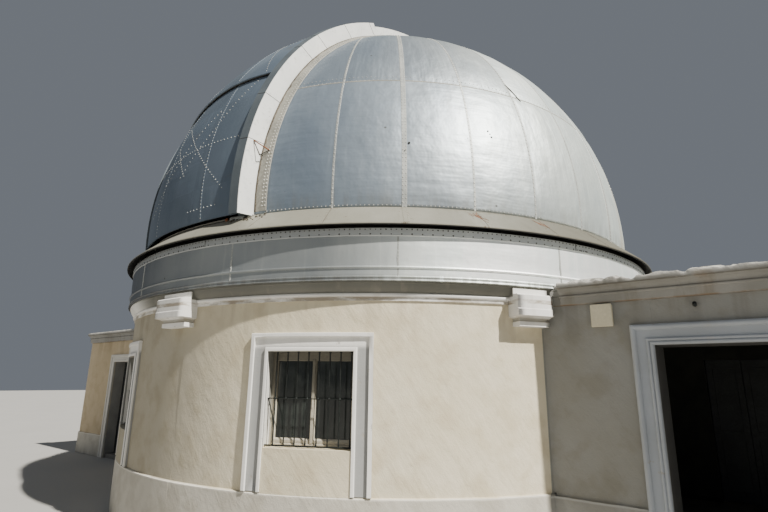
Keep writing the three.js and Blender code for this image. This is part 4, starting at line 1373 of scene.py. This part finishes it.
seed_object = add_object("seed", bpy.data.meshes.new("seed"))
bars = mesh_parts(grow(seed_object, grille_recipe(), Bars=GRILLE_BARS, Gap=GRILLE_GAP,
                       Height=GRILLE_TOP - GRILLE_FOOT, Knob_Height=CROSS_BAR - GRILLE_FOOT))
bars[0][:] += (GRILLE_FACE, FIRST_BAR, GRILLE_FOOT)
jamb = -WINDOW_HALF - 0.004
cross_sides, sill_sides = np.linspace(jamb, -jamb, 9), np.linspace(jamb - 0.002, WINDOW_HALF, 5)
ironwork = [
    bars,
    rod([(GRILLE_FACE, y, CROSS_BAR) for y in cross_sides], 0.0055, 6),
    rod([(GRILLE_FACE + 0.012, y, GRILLE_FOOT + 0.008) for y in sill_sides], 0.009, 6),
    rod([(GRILLE_FACE, jamb + 0.01, CROSS_BAR), (GRILLE_FACE + 0.002, jamb + 0.06, CROSS_BAR - 0.15),
         (GRILLE_FACE, FIRST_BAR, CROSS_BAR - 0.27)], 0.006, 6),
]
all_ironwork = [part for azimuth in window_turns for part in at_window(ironwork, azimuth)]
grilles = piece_of("window_grilles", all_ironwork, iron_finish, "building")
print("grille faces", len(grilles.data.polygons))

# %% [markdown]
# ## Doors
# The link's door is a dark metal frame with glass in it. The folding door in the wing's back portal is four
# panelled leaves. Both are dressed copies of their solids with eased edges, and the glass is laid over the
# thin web that the solid has in each panel.

# %% Doors
for node, bevel in (("wing_back_folding_door", 0.003), ("link_door_frame", 0.002),
                    ("link_door_leaf", 0.0018)):
    dress(node, door_finish, bevel)
leaf_low, leaf_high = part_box("link_door_leaf")
LEAF_WEB, LOCK_RAIL = (-1.6905, -1.6745), (0.955, 1.025)
leaf_panes = []
for low, high in ((leaf_low.z + 0.155, LOCK_RAIL[0]), (LOCK_RAIL[1], leaf_high.z - 0.085)):
    leaf_panes.append(block((leaf_low.x + 0.089, leaf_high.x - 0.08), LEAF_WEB, (low, high)))
piece_of("link_door_panes", leaf_panes, glass_finish, "door")
print("door", round(leaf_high.x - leaf_low.x, 3), "m wide")

# %% [markdown]
# ## Rivets
# A row of rivets is a line of points that also stores, at each point, which way is out of the sheet. The
# recipe turns the line into a curve, spaces points along it evenly, and stands a low six-sided head on each
# one. A small random change of size keeps the rows from looking stamped.

# %% Rivet recipe
SMALLEST_HEAD, LARGEST_HEAD = 0.82, 1.12


def rivet_recipe(name, finish):
    recipe = Recipe(name, Spacing=0.047, Radius=0.0095, Height=0.004)
    curve = recipe.add("GeometryNodeMeshToCurve", sockets={0: recipe.start.outputs[0]})
    even = recipe.add("GeometryNodeResampleCurve", {"mode": "LENGTH"}, {
        "Curve": curve, "Length": recipe.size("Spacing")})
    top = recipe.times(recipe.size("Radius"), 0.6)
    head = recipe.add("GeometryNodeMeshCone", {"fill_type": "NGON"}, {
        "Vertices": 6, "Radius Top": top, "Radius Bottom": recipe.size("Radius"),
        "Depth": recipe.size("Height")})
    out = recipe.add("GeometryNodeInputNamedAttribute", {"data_type": "FLOAT_VECTOR"}, {"Name": "outward"})
    stand = recipe.add("FunctionNodeAlignRotationToVector", {"axis": "Z"}, {"Vector": out})
    spread = recipe.add("FunctionNodeRandomValue", {"data_type": "FLOAT"}, {
        2: SMALLEST_HEAD, 3: LARGEST_HEAD, "Seed": 4}, out=1)
    placed = recipe.add("GeometryNodeInstanceOnPoints", sockets={
        "Points": even, "Instance": head, "Rotation": stand, "Scale": spread})
    return recipe.serve(placed, finish)


def row_lines(rows):
    """One mesh of open lines that stores the way out of the sheet at each point."""
    points, outs, edges = [], [], []
    for path, outward in rows:
        start = len(points)
        points += [tuple(p) for p in path]
        outs += [tuple(o) for o in unit(np.broadcast_to(np.asarray(outward, float), np.shape(path)))]
        edges += [(i, i + 1) for i in range(start, len(points) - 1)]
    mesh = bpy.data.meshes.new("rows")
    mesh.from_pydata(points, edges, [])
    way = mesh.attributes.new("outward", "FLOAT_VECTOR", "POINT")
    way.data.foreach_set("vector", np.array(outs, dtype=np.float32).ravel())
    return mesh


def rivets(name, rows, finish, body, spacing, radius, height):
    """A piece with a rivet at every step of each row."""
    seed_object.data = row_lines(rows)
    mesh = grow(seed_object, rivet_recipe(name, finish), Spacing=spacing, Radius=radius, Height=height)
    return settle(add_object(name, mesh), body)


print("rivet recipe ready")

# %% [markdown]
# ## Seams of the dome
# The gores meet every 11.45 degrees. Most of the joints are narrow laps with one row of rivets, and some are
# covered by a wide strip with two rows. All of them end at the strip that runs beside each curb. One ring of
# small rivets goes round where the lower and the upper sheets overlap.

# %% Gore strips and their rivets
WIDE, NARROW = 0.030, 0.013
ROW_OFFSET = 0.017
REAR_SEAM, REAR_SEAM_TOP = math.radians(170.15), math.radians(78.8)


def strip_edge(t):
    """Outer edge of the strip beside a curb: it widens above 35 degrees."""
    return STRIP_EDGE + 0.045 * np.clip((np.asarray(t, float) - 35) / 25, 0, 1)


def meridian(turn, top, offset=0.0):
    """A line up the dome at an azimuth from the slit, shifted sideways by metres."""
    rise = np.linspace(BASE_ELEVATION + 0.001, top, 44)
    shifted = turn + offset / (RADIUS * np.cos(rise))
    path = globe(SLIT_AZIMUTH + shifted, rise)
    return path, path - MIDDLE


gore_strips, gore_rows, narrow_rows = [], [], []
for i in range(-5, 6):
    for hand in (-1, 1):
        turn = math.pi / 2 + i * GORE
        limit = (STRIP_EDGE + 0.02) / (RADIUS * math.sin(turn))
        top = math.acos(limit)
        wide = i % 4 == 0
        path, outward = meridian(hand * turn, top)
        half_width, thick = (WIDE, 0.0045) if wide else (NARROW, 0.003)
        gore_strips.append(ribbon(path, outward, half_width, -0.004, thick))
        if wide:
            for offset in (-ROW_OFFSET, ROW_OFFSET):
                line, out = meridian(hand * turn, top, offset)
                gore_rows.append((line + unit(out) * 0.0035, out))
        else:
            narrow_rows.append((path + unit(outward) * 0.002, outward))
for hand in (-1, 1):
    path, outward = meridian(hand * REAR_SEAM, REAR_SEAM_TOP)
    gore_strips.append(ribbon(path, outward, NARROW, -0.004, 0.003))
    narrow_rows.append((path + unit(outward) * 0.002, outward))
piece_of("gore_strips", gore_strips, trim_finish, "dome")
strip_rivets = rivets("gore_strip_rivets", gore_rows, pale_rivet_finish, "dome",
                      spacing=0.047, radius=0.009, height=0.0045)
lap_rivets = rivets("gore_lap_rivets", narrow_rows, pale_rivet_finish, "dome",
                    spacing=0.052, radius=0.010, height=0.005)
print("rivet faces on the gores", len(strip_rivets.data.polygons) + len(lap_rivets.data.polygons))

# %% Ring seam and the row along the foot


def level_row(rise, edge, hand, height=0.0):
    """A level line round one side of the dome, between the strips beside the curbs."""
    first = math.asin(min(1.0, edge / (RADIUS * math.cos(rise))))
    turns = np.linspace(first, math.pi - first, 150)
    path = globe(SLIT_AZIMUTH + hand * turns, np.full(turns.shape, rise), np.full(turns.shape, height))
    return path, path - MIDDLE


ring_strips, ring_rows, foot_rows = [], [], []
for hand in (-1, 1):
    path, outward = level_row(RING_SEAM, STRIP_EDGE, hand)
    ring_strips.append(ribbon(path, outward, 0.010, -0.004, 0.0022))
    ring_rows.append(level_row(RING_SEAM + 0.012 / RADIUS, STRIP_EDGE, hand, 0.001))
    ring_rows.append(level_row(RING_SEAM + 0.072 / RADIUS, STRIP_EDGE, hand, 0.0045))
    foot_rows.append(level_row(BASE_ELEVATION + 0.022 / RADIUS, STRIP_EDGE, hand, 0.0))
piece_of("ring_seam", ring_strips, side_trim_finish, "dome")
rivets("ring_seam_rivets", ring_rows, pale_rivet_finish, "dome",
       spacing=0.052, radius=0.006, height=0.0035)
rivets("foot_rivets", foot_rows, pale_rivet_finish, "dome",
       spacing=0.046, radius=0.008, height=0.005)
print("ring seam at", round(math.degrees(RING_SEAM), 1), "degrees")

# %% [markdown]
# ## Beside the curbs
# A grey-beige strip with two rows of rivets lies along each curb. The joint between them was filled with
# sealant, which has crumbled and gone dark, most of all half way up. The curb itself is made of plates; each
# joint between two plates is a thin dark line over its outer face and its flange. At the back a flat plate
# closes the gap that is left below the end of each curb, between the side sheets and the rear sheet.

# %% Strips, sealant and curb joints
STRIP_FROM, STRIP_TO, STRIP_GAP = -2.6, 177, 0.002
BEAD_PEAK, BEAD_SPREAD = 38, 26
REAR_PLATE_FROM, REAR_PLATE_MIDDLE, REAR_PLATE_HALF = 171.6, 1.1825, 0.0545
strips, strip_rows, beads = [], [], []
t_line, fine = np.linspace(STRIP_FROM, STRIP_TO, 190), np.linspace(STRIP_FROM, STRIP_TO, 620)
rear_line = np.linspace(REAR_PLATE_FROM, REAR_TO - 0.1, 24)
for hand in (-1, 1):
    outer = strip_edge(t_line)
    middle = (SLIT_HALF + STRIP_GAP + outer) / 2
    path = arch(t_line, hand * middle)
    strips.append(ribbon(path, path - MIDDLE, (outer - SLIT_HALF - STRIP_GAP) / 2, -0.004, 0.0065))
    for inset in (0.022, 0.055):
        line = arch(t_line[1:-1], hand * (outer[1:-1] - inset), 0.006)
        strip_rows.append((line, line - MIDDLE))
    heavy = 0.35 + 0.65 * np.exp(-((fine - BEAD_PEAK) / BEAD_SPREAD) ** 2)
    torn = np.stack([fine * 0.5, np.full(fine.shape, hand * 3.0), np.zeros(fine.shape)], axis=-1)
    ragged = np.clip(swells(torn, 0.6, 41) + 0.6 * swells(torn, 0.23, 42), -0.6, 1.4)
    width = 0.006 + heavy * (0.006 + 0.008 * ragged)
    path = arch(fine, hand * (SLIT_HALF + 0.001 + width))
    beads.append(ribbon(path, path - MIDDLE, width, -0.003, 0.012))
    plate = arch(rear_line, hand * REAR_PLATE_MIDDLE)
    strips.append(ribbon(plate, plate - MIDDLE, REAR_PLATE_HALF, -0.004, 0.0045))
piece_of("curb_side_strips", strips, side_trim_finish, "dome")
piece_of("crumbled_sealant", beads, seal_finish, "dome", sharp=70)
rivets("curb_strip_rivets", strip_rows, pale_rivet_finish, "dome",
       spacing=0.043, radius=0.009, height=0.005)

JOINTS = (10.8, 20.9, 36.2, 42.2, 52.0, 61.0)
JOINT_LEAN = 0.5
CURB_TOP, FLANGE_EDGE = 0.199, SLIT_HALF - 0.118
joint_lines = []
for t in JOINTS:
    heights = np.linspace(0.006, CURB_TOP, 6)
    lean = t - JOINT_LEAN * (heights / CURB_TOP)
    side = np.stack([arch(a, SLIT_HALF, h) for a, h in zip(lean, heights)])
    joint_lines.append(ribbon(side, np.broadcast_to(ACROSS, side.shape), 0.0035, -0.003, 0.0014))
    flange_line = np.linspace(SLIT_HALF - 0.002, FLANGE_EDGE, 4)
    over = np.stack([arch(t - JOINT_LEAN, k, CURB_TOP) for k in flange_line])
    joint_lines.append(ribbon(over, over - MIDDLE, 0.003, -0.003, 0.0022))
piece_of("curb_plate_joints", joint_lines, tar_grime_and_shadow_finish, "dome")
print("curb joints", len(JOINTS))

# %% Bent bracket on the near curb
on_curb = arch(10.3, SLIT_HALF + 0.004, 0.135)
on_sheet = arch(9.2, 1.335, 0.012)
elbow = arch(7.7, 1.292, 0.075)


def straight_rod(first, last, radius):
    return rod(np.linspace(first, last, 5), radius, 6)


piece_of("bent_bracket", [straight_rod(on_curb, on_sheet, 0.0065)], rust_finish, "dome")
piece_of("bracket_stays", [straight_rod(on_curb, elbow, 0.005), straight_rod(elbow, on_sheet, 0.005)],
         tar_grime_and_shadow_finish, "dome")
print("bracket", round(float(np.linalg.norm(on_curb - on_sheet)), 3), "m long")

# %% [markdown]
# ## Seams of the shutters
# The shutters' sheets are riveted to ribs that can't be seen: two rows run up the middle, one crosses them,
# and two pairs of rows run at a slant, over braces. Each row rides on the shutter that it belongs to. A
# near-black strip hangs under the upper shutter's lip as painted shadow and makes the dark line where the two
# overlap.

# %% Shutter rivets and seams


def shutter_line(spec, stops, count=60):
    """A path on a shutter's outer face through (t, k) stops."""
    at = np.linspace(0, len(stops) - 1, count)
    t = np.interp(at, range(len(stops)), [s[0] for s in stops])
    k = np.interp(at, range(len(stops)), [s[1] for s in stops])
    path = arch(t, k, spec["high"] + shutter_bumps(t, k))
    return path, path - MIDDLE


lower_seams = [[(-2.4, 0.565), (10, 0.52), (20, 0.46), (28.6, 0.40)],
               [(-2.4, -0.565), (10, -0.52), (20, -0.46), (28.6, -0.40)]]
lower_rows = [[(12.2, -1.02), (12.2, 1.02)], [(-0.6, 0.30), (-0.6, 0.80)],
              [(20.4, -0.38), (7.5, 0.52), (2.3, 0.88)], [(27, 0.80), (15.6, 0.45), (7.3, -0.04)],
              [(20.4, 0.38), (7.5, -0.52), (2.3, -0.88)], [(27, -0.80), (15.6, -0.45), (7.3, 0.04)]]
upper_seams = [[(29, 0.385), (60, 0.38), (99.5, 0.38)], [(29, -0.385), (60, -0.38), (99.5, -0.38)]]
upper_rows = [[(46, -1.05), (46, 1.05)], [(72, -1.05), (72, 1.05)], [(29, -0.9), (44, -0.45), (58, 0.0)],
              [(29, 0.9), (44, 0.45), (58, 0.0)]]
for word, spec, seams, rows in (("lower", LOWER, lower_seams, lower_rows),
                                ("upper", UPPER, upper_seams, upper_rows)):
    body = word + "_shutter"
    seam_paths = [shutter_line(spec, stops) for stops in seams]
    piece_of(word + "_shutter_seams", [ribbon(p, o, 0.010, -0.006, 0.0025) for p, o in seam_paths],
             shutter_finish, body)
    rivets(word + "_shutter_seam_rivets", [(p + unit(o) * 0.0015, o) for p, o in seam_paths],
           pale_rivet_finish, body, spacing=0.043, radius=0.0085, height=0.0035)
    rivets(word + "_shutter_rivets", [shutter_line(spec, stops) for stops in rows],
           pale_rivet_finish, body, spacing=0.058, radius=0.0075, height=0.0045)
# The near-black strip under the upper shutter's lip is painted shadow.
LIP_TURN, LIP_HALF = 27.975, 1.195
lip = arch(LIP_TURN, np.linspace(-LIP_HALF, LIP_HALF, 60), UPPER["low"])
piece_of("upper_shutter_lip_shadow_strip", [ribbon(lip, lip - MIDDLE, 0.003, 0.0005, 0.0110)], tar_grime_and_shadow_finish,
         "upper_shutter")
print("shutter rows", len(lower_rows) + len(upper_rows))

# %% [markdown]
# ## Seams of the band and the apron
# The band's sheets meet at upright joints with close rivets. The strip along its top has a close row and an
# open row, whose heads are dark with grime. The apron's sheets meet under the dome's seams; some of these
# joints are covered by a strip, and others have rusted where the paint was scratched.

# %% Band joints and rivets
BAND_FACE, STRIP_FACE = 4.0405, 4.0465
BAND_RISE, BAND_FOOT_RISE = np.linspace(2.664, 2.952, 8), np.linspace(2.568, 2.632, 3)
STRIP_RISE = (2.963, 3.0, 3.037)
CLOSE_ROW, OPEN_ROW = 3.024, 2.977
STRIP_BUTTS = [math.radians(a) for a in (-81.7, -22.6, 36.5, 95.5, 154.5, -146.5)]
full_turn = np.linspace(0, 2 * math.pi, 361)


def ring_row(radius, z, turns=full_turn):
    path = ring_points(radius, z, turns)
    return path, path * (1, 1, 0)


def upright_row(radius, azimuth, heights):
    path = np.array([[math.cos(azimuth) * radius, math.sin(azimuth) * radius, z] for z in heights])
    return path, path * (1, 1, 0)


band_joints, joint_rows, dense_ends, butt_lines = [], [], [], []
for azimuth in [BAND_SEAM_FROM + i * BAND_SEAM_STEP for i in range(-4, 9)] + [math.pi]:
    for heights, sunk in ((BAND_RISE, -0.006), (BAND_FOOT_RISE, -0.004)):
        row = upright_row(BAND_FACE, azimuth, heights)
        band_joints.append(ribbon(*row, 0.011, sunk, 0.0018))
        joint_rows.append(row)
for butt in STRIP_BUTTS:
    butt_lines.append(ribbon(*upright_row(STRIP_FACE, butt, STRIP_RISE), 0.003, -0.003, 0.0012))
    side = -1 if butt < math.radians(-60) else 1
    end_turns = np.linspace(butt + side * 0.006, butt + side * 0.045, 6)
    dense_ends.append(ring_row(STRIP_FACE, OPEN_ROW, end_turns))
piece_of("band_joints", band_joints, trim_finish, "building")
piece_of("band_strip_joints", butt_lines, tar_grime_and_shadow_finish, "building")
rivets("band_joint_rivets", joint_rows, pale_rivet_finish, "building",
       spacing=0.034, radius=0.006, height=0.0035)
rivets("strip_close_rivets", [ring_row(STRIP_FACE, CLOSE_ROW)], dark_rivet_finish, "building",
       spacing=0.051, radius=0.0075, height=0.004)
rivets("strip_open_rivets", [ring_row(STRIP_FACE, OPEN_ROW)], dark_rivet_finish, "building",
       spacing=0.102, radius=0.009, height=0.0045)
rivets("strip_end_rivets", dense_ends, dark_rivet_finish, "building",
       spacing=0.030, radius=0.0075, height=0.004)
print("band joints", len(band_joints) // 2)

# %% Apron joints
APRON_TOP, APRON_EDGE = (3.808, 3.3395), (4.1265, 3.0733)
SLOPE_OUT = unit(np.array([APRON_TOP[1] - APRON_EDGE[1], APRON_EDGE[0] - APRON_TOP[0]]))


def on_apron(azimuth, part):
    """A point on the apron's slope, part of the way from its top to its edge."""
    radius = APRON_TOP[0] + (APRON_EDGE[0] - APRON_TOP[0]) * part
    z = APRON_TOP[1] + (APRON_EDGE[1] - APRON_TOP[1]) * part
    return np.array([radius * math.cos(azimuth), radius * math.sin(azimuth), z])


def apron_out(azimuth):
    return np.array([SLOPE_OUT[0] * math.cos(azimuth), SLOPE_OUT[0] * math.sin(azimuth), SLOPE_OUT[1]])


def beside(azimuth, offset):
    """The way along the apron's rim, times metres."""
    return np.array([-math.sin(azimuth), math.cos(azimuth), 0.0]) * offset


ROW_ASIDE = 0.02
SCRATCHED = (-39.6, -39.6, -27.9, 38.0, 71.0, 140.0, -120.0)
SCRATCH_WIDTHS = np.array([1, 2, 3, 2.6, 1.6, 2.2, 0.8])
apron_strips, apron_laps, apron_rows = [], [], []
for i in range(-6, 7):
    for hand in (-1, 1):
        azimuth = SLIT_AZIMUTH + hand * (math.pi / 2 + i * GORE)
        path = np.array([on_apron(azimuth, part) for part in np.linspace(0.02, 0.985, 7)])
        outward = np.broadcast_to(apron_out(azimuth), path.shape)
        if i % 4 == 0:
            apron_strips.append(ribbon(path, outward, 0.029, -0.003, 0.0022))
            for offset in (-ROW_ASIDE, ROW_ASIDE):
                apron_rows.append((path + beside(azimuth, offset) + outward * 0.0018, outward))
        else:
            apron_laps.append(ribbon(path, outward, 0.0022, -0.003, 0.0012))
            if abs(i) == 5:
                for offset in (ROW_ASIDE, -ROW_ASIDE):
                    apron_rows.append((path[1:-1] + beside(azimuth, offset), outward[1:-1]))
rng = random.Random(64)
scratches = []
for azimuth in [math.radians(a) for a in SCRATCHED]:
    for _ in range(6):
        ends = azimuth + math.radians(rng.uniform(-0.7, 1.2)), azimuth + math.radians(rng.uniform(-0.2, 2.4))
        parts = rng.uniform(0.04, 0.35), rng.uniform(0.4, 0.85)
        stops = [(ends[0] + (ends[1] - ends[0]) * s + rng.uniform(-0.0012, 0.0012),
                  parts[0] + (parts[1] - parts[0]) * s) for s in np.linspace(0, rng.uniform(0.35, 1.0), 7)]
        path = np.array([on_apron(*stop) for stop in stops])
        outward = np.broadcast_to(apron_out(azimuth), path.shape)
        width = SCRATCH_WIDTHS * rng.uniform(0.0007, 0.0013)
        scratches.append(ribbon(path, outward, width, -0.003, 0.0012))
piece_of("apron_scratches", scratches, rust_finish, "dome")
piece_of("apron_strips", apron_strips, apron_finish, "dome")
piece_of("apron_laps", apron_laps, seal_finish, "dome")
rivets("apron_rivets", apron_rows, apron_finish, "dome",
       spacing=0.045, radius=0.006, height=0.0025)
print("apron joints", len(apron_strips) + len(apron_laps))

# %% [markdown]
# ## Wear and small finds
# A few marks make the surface belong to one real building: a black scrape across the ring seam, two pairs of
# small holes, a rail and broken mortar at the shutter's foot, and a junction box on the wing's wall.

# %% Scrape and holes


def spot(azimuth, elevation, radius):
    """A thin dark disc that lies on the dome."""
    middle = globe(azimuth, elevation, 0.010)
    out = unit(middle - MIDDLE)
    east = unit(np.cross(UP, out))
    north = np.cross(out, east)
    turns = np.linspace(0, 2 * math.pi, 9)[:-1]
    rim = np.array([middle + radius * (math.cos(a) * east + math.sin(a) * north) for a in turns])
    sides = [(a, a + 8, (a + 1) % 8 + 8, (a + 1) % 8) for a in range(8)]
    return np.concatenate([rim, rim - out * 0.02]), [tuple(range(8)), tuple(range(15, 7, -1))] + sides


SCRAPE_WIDTHS = np.array([3, 8, 12, 13, 11, 9, 6, 4, 2]) * 0.001
HOLES = ((-35.1, 12.2, 0.011), (-34.8, 11.6, 0.008), (-34.6, 11.0, 0.012), (-49.2, 8.3, 0.013),
         (-49.9, 6.8, 0.006))
scrape = globe(np.radians(np.linspace(-27.2, -25.0, 9)), np.radians(np.linspace(26.6, 22.2, 9)), 0.0085)
marks = [ribbon(scrape, scrape - MIDDLE, SCRAPE_WIDTHS, -0.008, 0.0012)]
for azimuth, elevation, radius in HOLES:
    marks.append(spot(math.radians(azimuth), math.radians(elevation), radius))
piece_of("scrape_and_holes", marks, tar_grime_and_shadow_finish, "dome")
print("marks", len(marks))

# %% Foot of the slit
# A rail lies across, with a small plate, a rusted nut and crumbs of mortar beside it.
RAIL_RADIUS, FOOT_RADIUS, CRUMB_RADIUS = 3.845, 3.86, 3.9
CRUMBS = 54


def across_azimuth(k, radius):
    """Azimuth of the point at k across on a level ring."""
    return SLIT_AZIMUTH + math.asin(k / radius)


def foot_bar(name, turns, radius, z, lean, half_width, high, finish):
    """A bar at some azimuths across the foot of the slit; lean is how far its face looks up."""
    outward = np.array([[math.cos(a), math.sin(a), lean] for a in turns])
    bar = ribbon(ring_points(radius, z, turns), outward, half_width, -0.02, high)
    piece_of(name, [bar], finish, "dome")


rail_turns = [across_azimuth(k, RAIL_RADIUS) for k in np.linspace(-1.12, 0.90, 40)]
plate_turns = [across_azimuth(k, FOOT_RADIUS) for k in np.linspace(0.97, 1.16, 5)]
foot_bar("slit_foot_rail", rail_turns, 3.846, 3.3125, 0.5, 0.0125, 0.012, side_trim_finish)
foot_bar("slit_foot_joint", rail_turns, 3.862, 3.2975, 0.5, 0.007, 0.006, tar_grime_and_shadow_finish)
foot_bar("slit_foot_plate", plate_turns, 3.858, 3.312, 0.1, 0.022, 0.006, trim_finish)
nut = ring_points(3.868, 3.308, [across_azimuth(0.93, FOOT_RADIUS)])[0]
piece_of("slit_foot_nut", [lump(nut, (0.02, 0.018, 0.02), 7)], rust_finish, "dome")
crumbs, pale_crumbs = [], []
for i in range(CRUMBS):
    azimuth = across_azimuth(rng.uniform(0.95, 1.45), CRUMB_RADIUS)
    part = rng.uniform(0.02, 0.40) if i % 3 else rng.uniform(0.02, 0.16)
    size = rng.uniform(0.004, 0.013)
    at = on_apron(azimuth, part) + apron_out(azimuth) * size * 0.3
    (pale_crumbs if i % 3 == 0 else crumbs).append(lump(at, (size * 1.3, size * 1.1, size * 0.7), i))
piece_of("mortar_crumbs", crumbs, seal_finish, "dome")
piece_of("pale_crumbs", pale_crumbs, lime_finish, "dome")
print("crumbs", len(crumbs) + len(pale_crumbs))

# %% Junction box
# A case against the wall, and a lid that stands a little past it all round.
BOX_X, BOX_Y, BOX_Z = (3.948, 4.126), (-1.965, -1.9075), (2.108, 2.308)
LID_Y, LID_PAST = (-1.978, -1.962), 0.006
lid_x, lid_z = ((low - LID_PAST, high + LID_PAST) for low, high in (BOX_X, BOX_Z))
box_parts = [block(BOX_X, BOX_Y, BOX_Z), block(lid_x, LID_Y, lid_z)]
box_piece = piece_of("junction_box", box_parts, box_finish, "building")
rounded = box_piece.modifiers.new("rounded", "BEVEL")
rounded.width, rounded.segments = 0.014, 4
print("junction box", [round(v, 3) for v in box_piece.dimensions])

# %% [markdown]
# ## Rolls round the portals
# The plasterer ran three rolls round each portal with a shaped board: a stout one along the outer edge and
# two slim ones beside the opening. Each roll is three straight rods that run into each other at the corners.
# The same cell adds the small iron knob on the wing's wall.

# %% Rolls round the portals
ROLLS = ((0.0235, 0.0200), (0.1355, 0.0130), (0.1660, 0.0145))
ROLL_SUNK, ROLL_SWELL = 0.0075, 0.0016
KNOB_AT, KNOB_SIZE = (4.788, -1.922, 2.258), (0.016, 0.020, 0.024)
for place, hand in (("front", -1), ("back", 1)):
    low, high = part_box(f"wing_{place}_surround")
    face = (low.y if hand < 0 else high.y) - hand * ROLL_SUNK
    rolls = []
    for inset, radius in ROLLS:
        left, right, top = low.x + inset, high.x - inset, high.z - inset
        heights = np.linspace(0.004, top + radius * 0.8, 14)
        for x in (left, right):
            jamb_line = np.stack([np.full(14, x), np.full(14, face), heights], axis=-1)
            rolls.append(rod(jamb_line, radius + ROLL_SWELL * swells(jamb_line, 0.3, 61), 10))
        spans = np.linspace(left - radius * 0.8, right + radius * 0.8, 16)
        head_line = np.stack([spans, np.full(16, face), np.full(16, top)], axis=-1)
        rolls.append(rod(head_line, radius + ROLL_SWELL * swells(head_line, 0.3, 62), 10))
    piece_of(f"wing_{place}_rolls", rolls, lime_finish, "building", sharp=60)
piece_of("wing_wall_knob", [lump(KNOB_AT, KNOB_SIZE, 11)], iron_finish, "building")
print("rolls", len(ROLLS), "to a portal")

bpy.data.objects.remove(seed_object)

# %% Update the scene
bpy.context.view_layer.update()
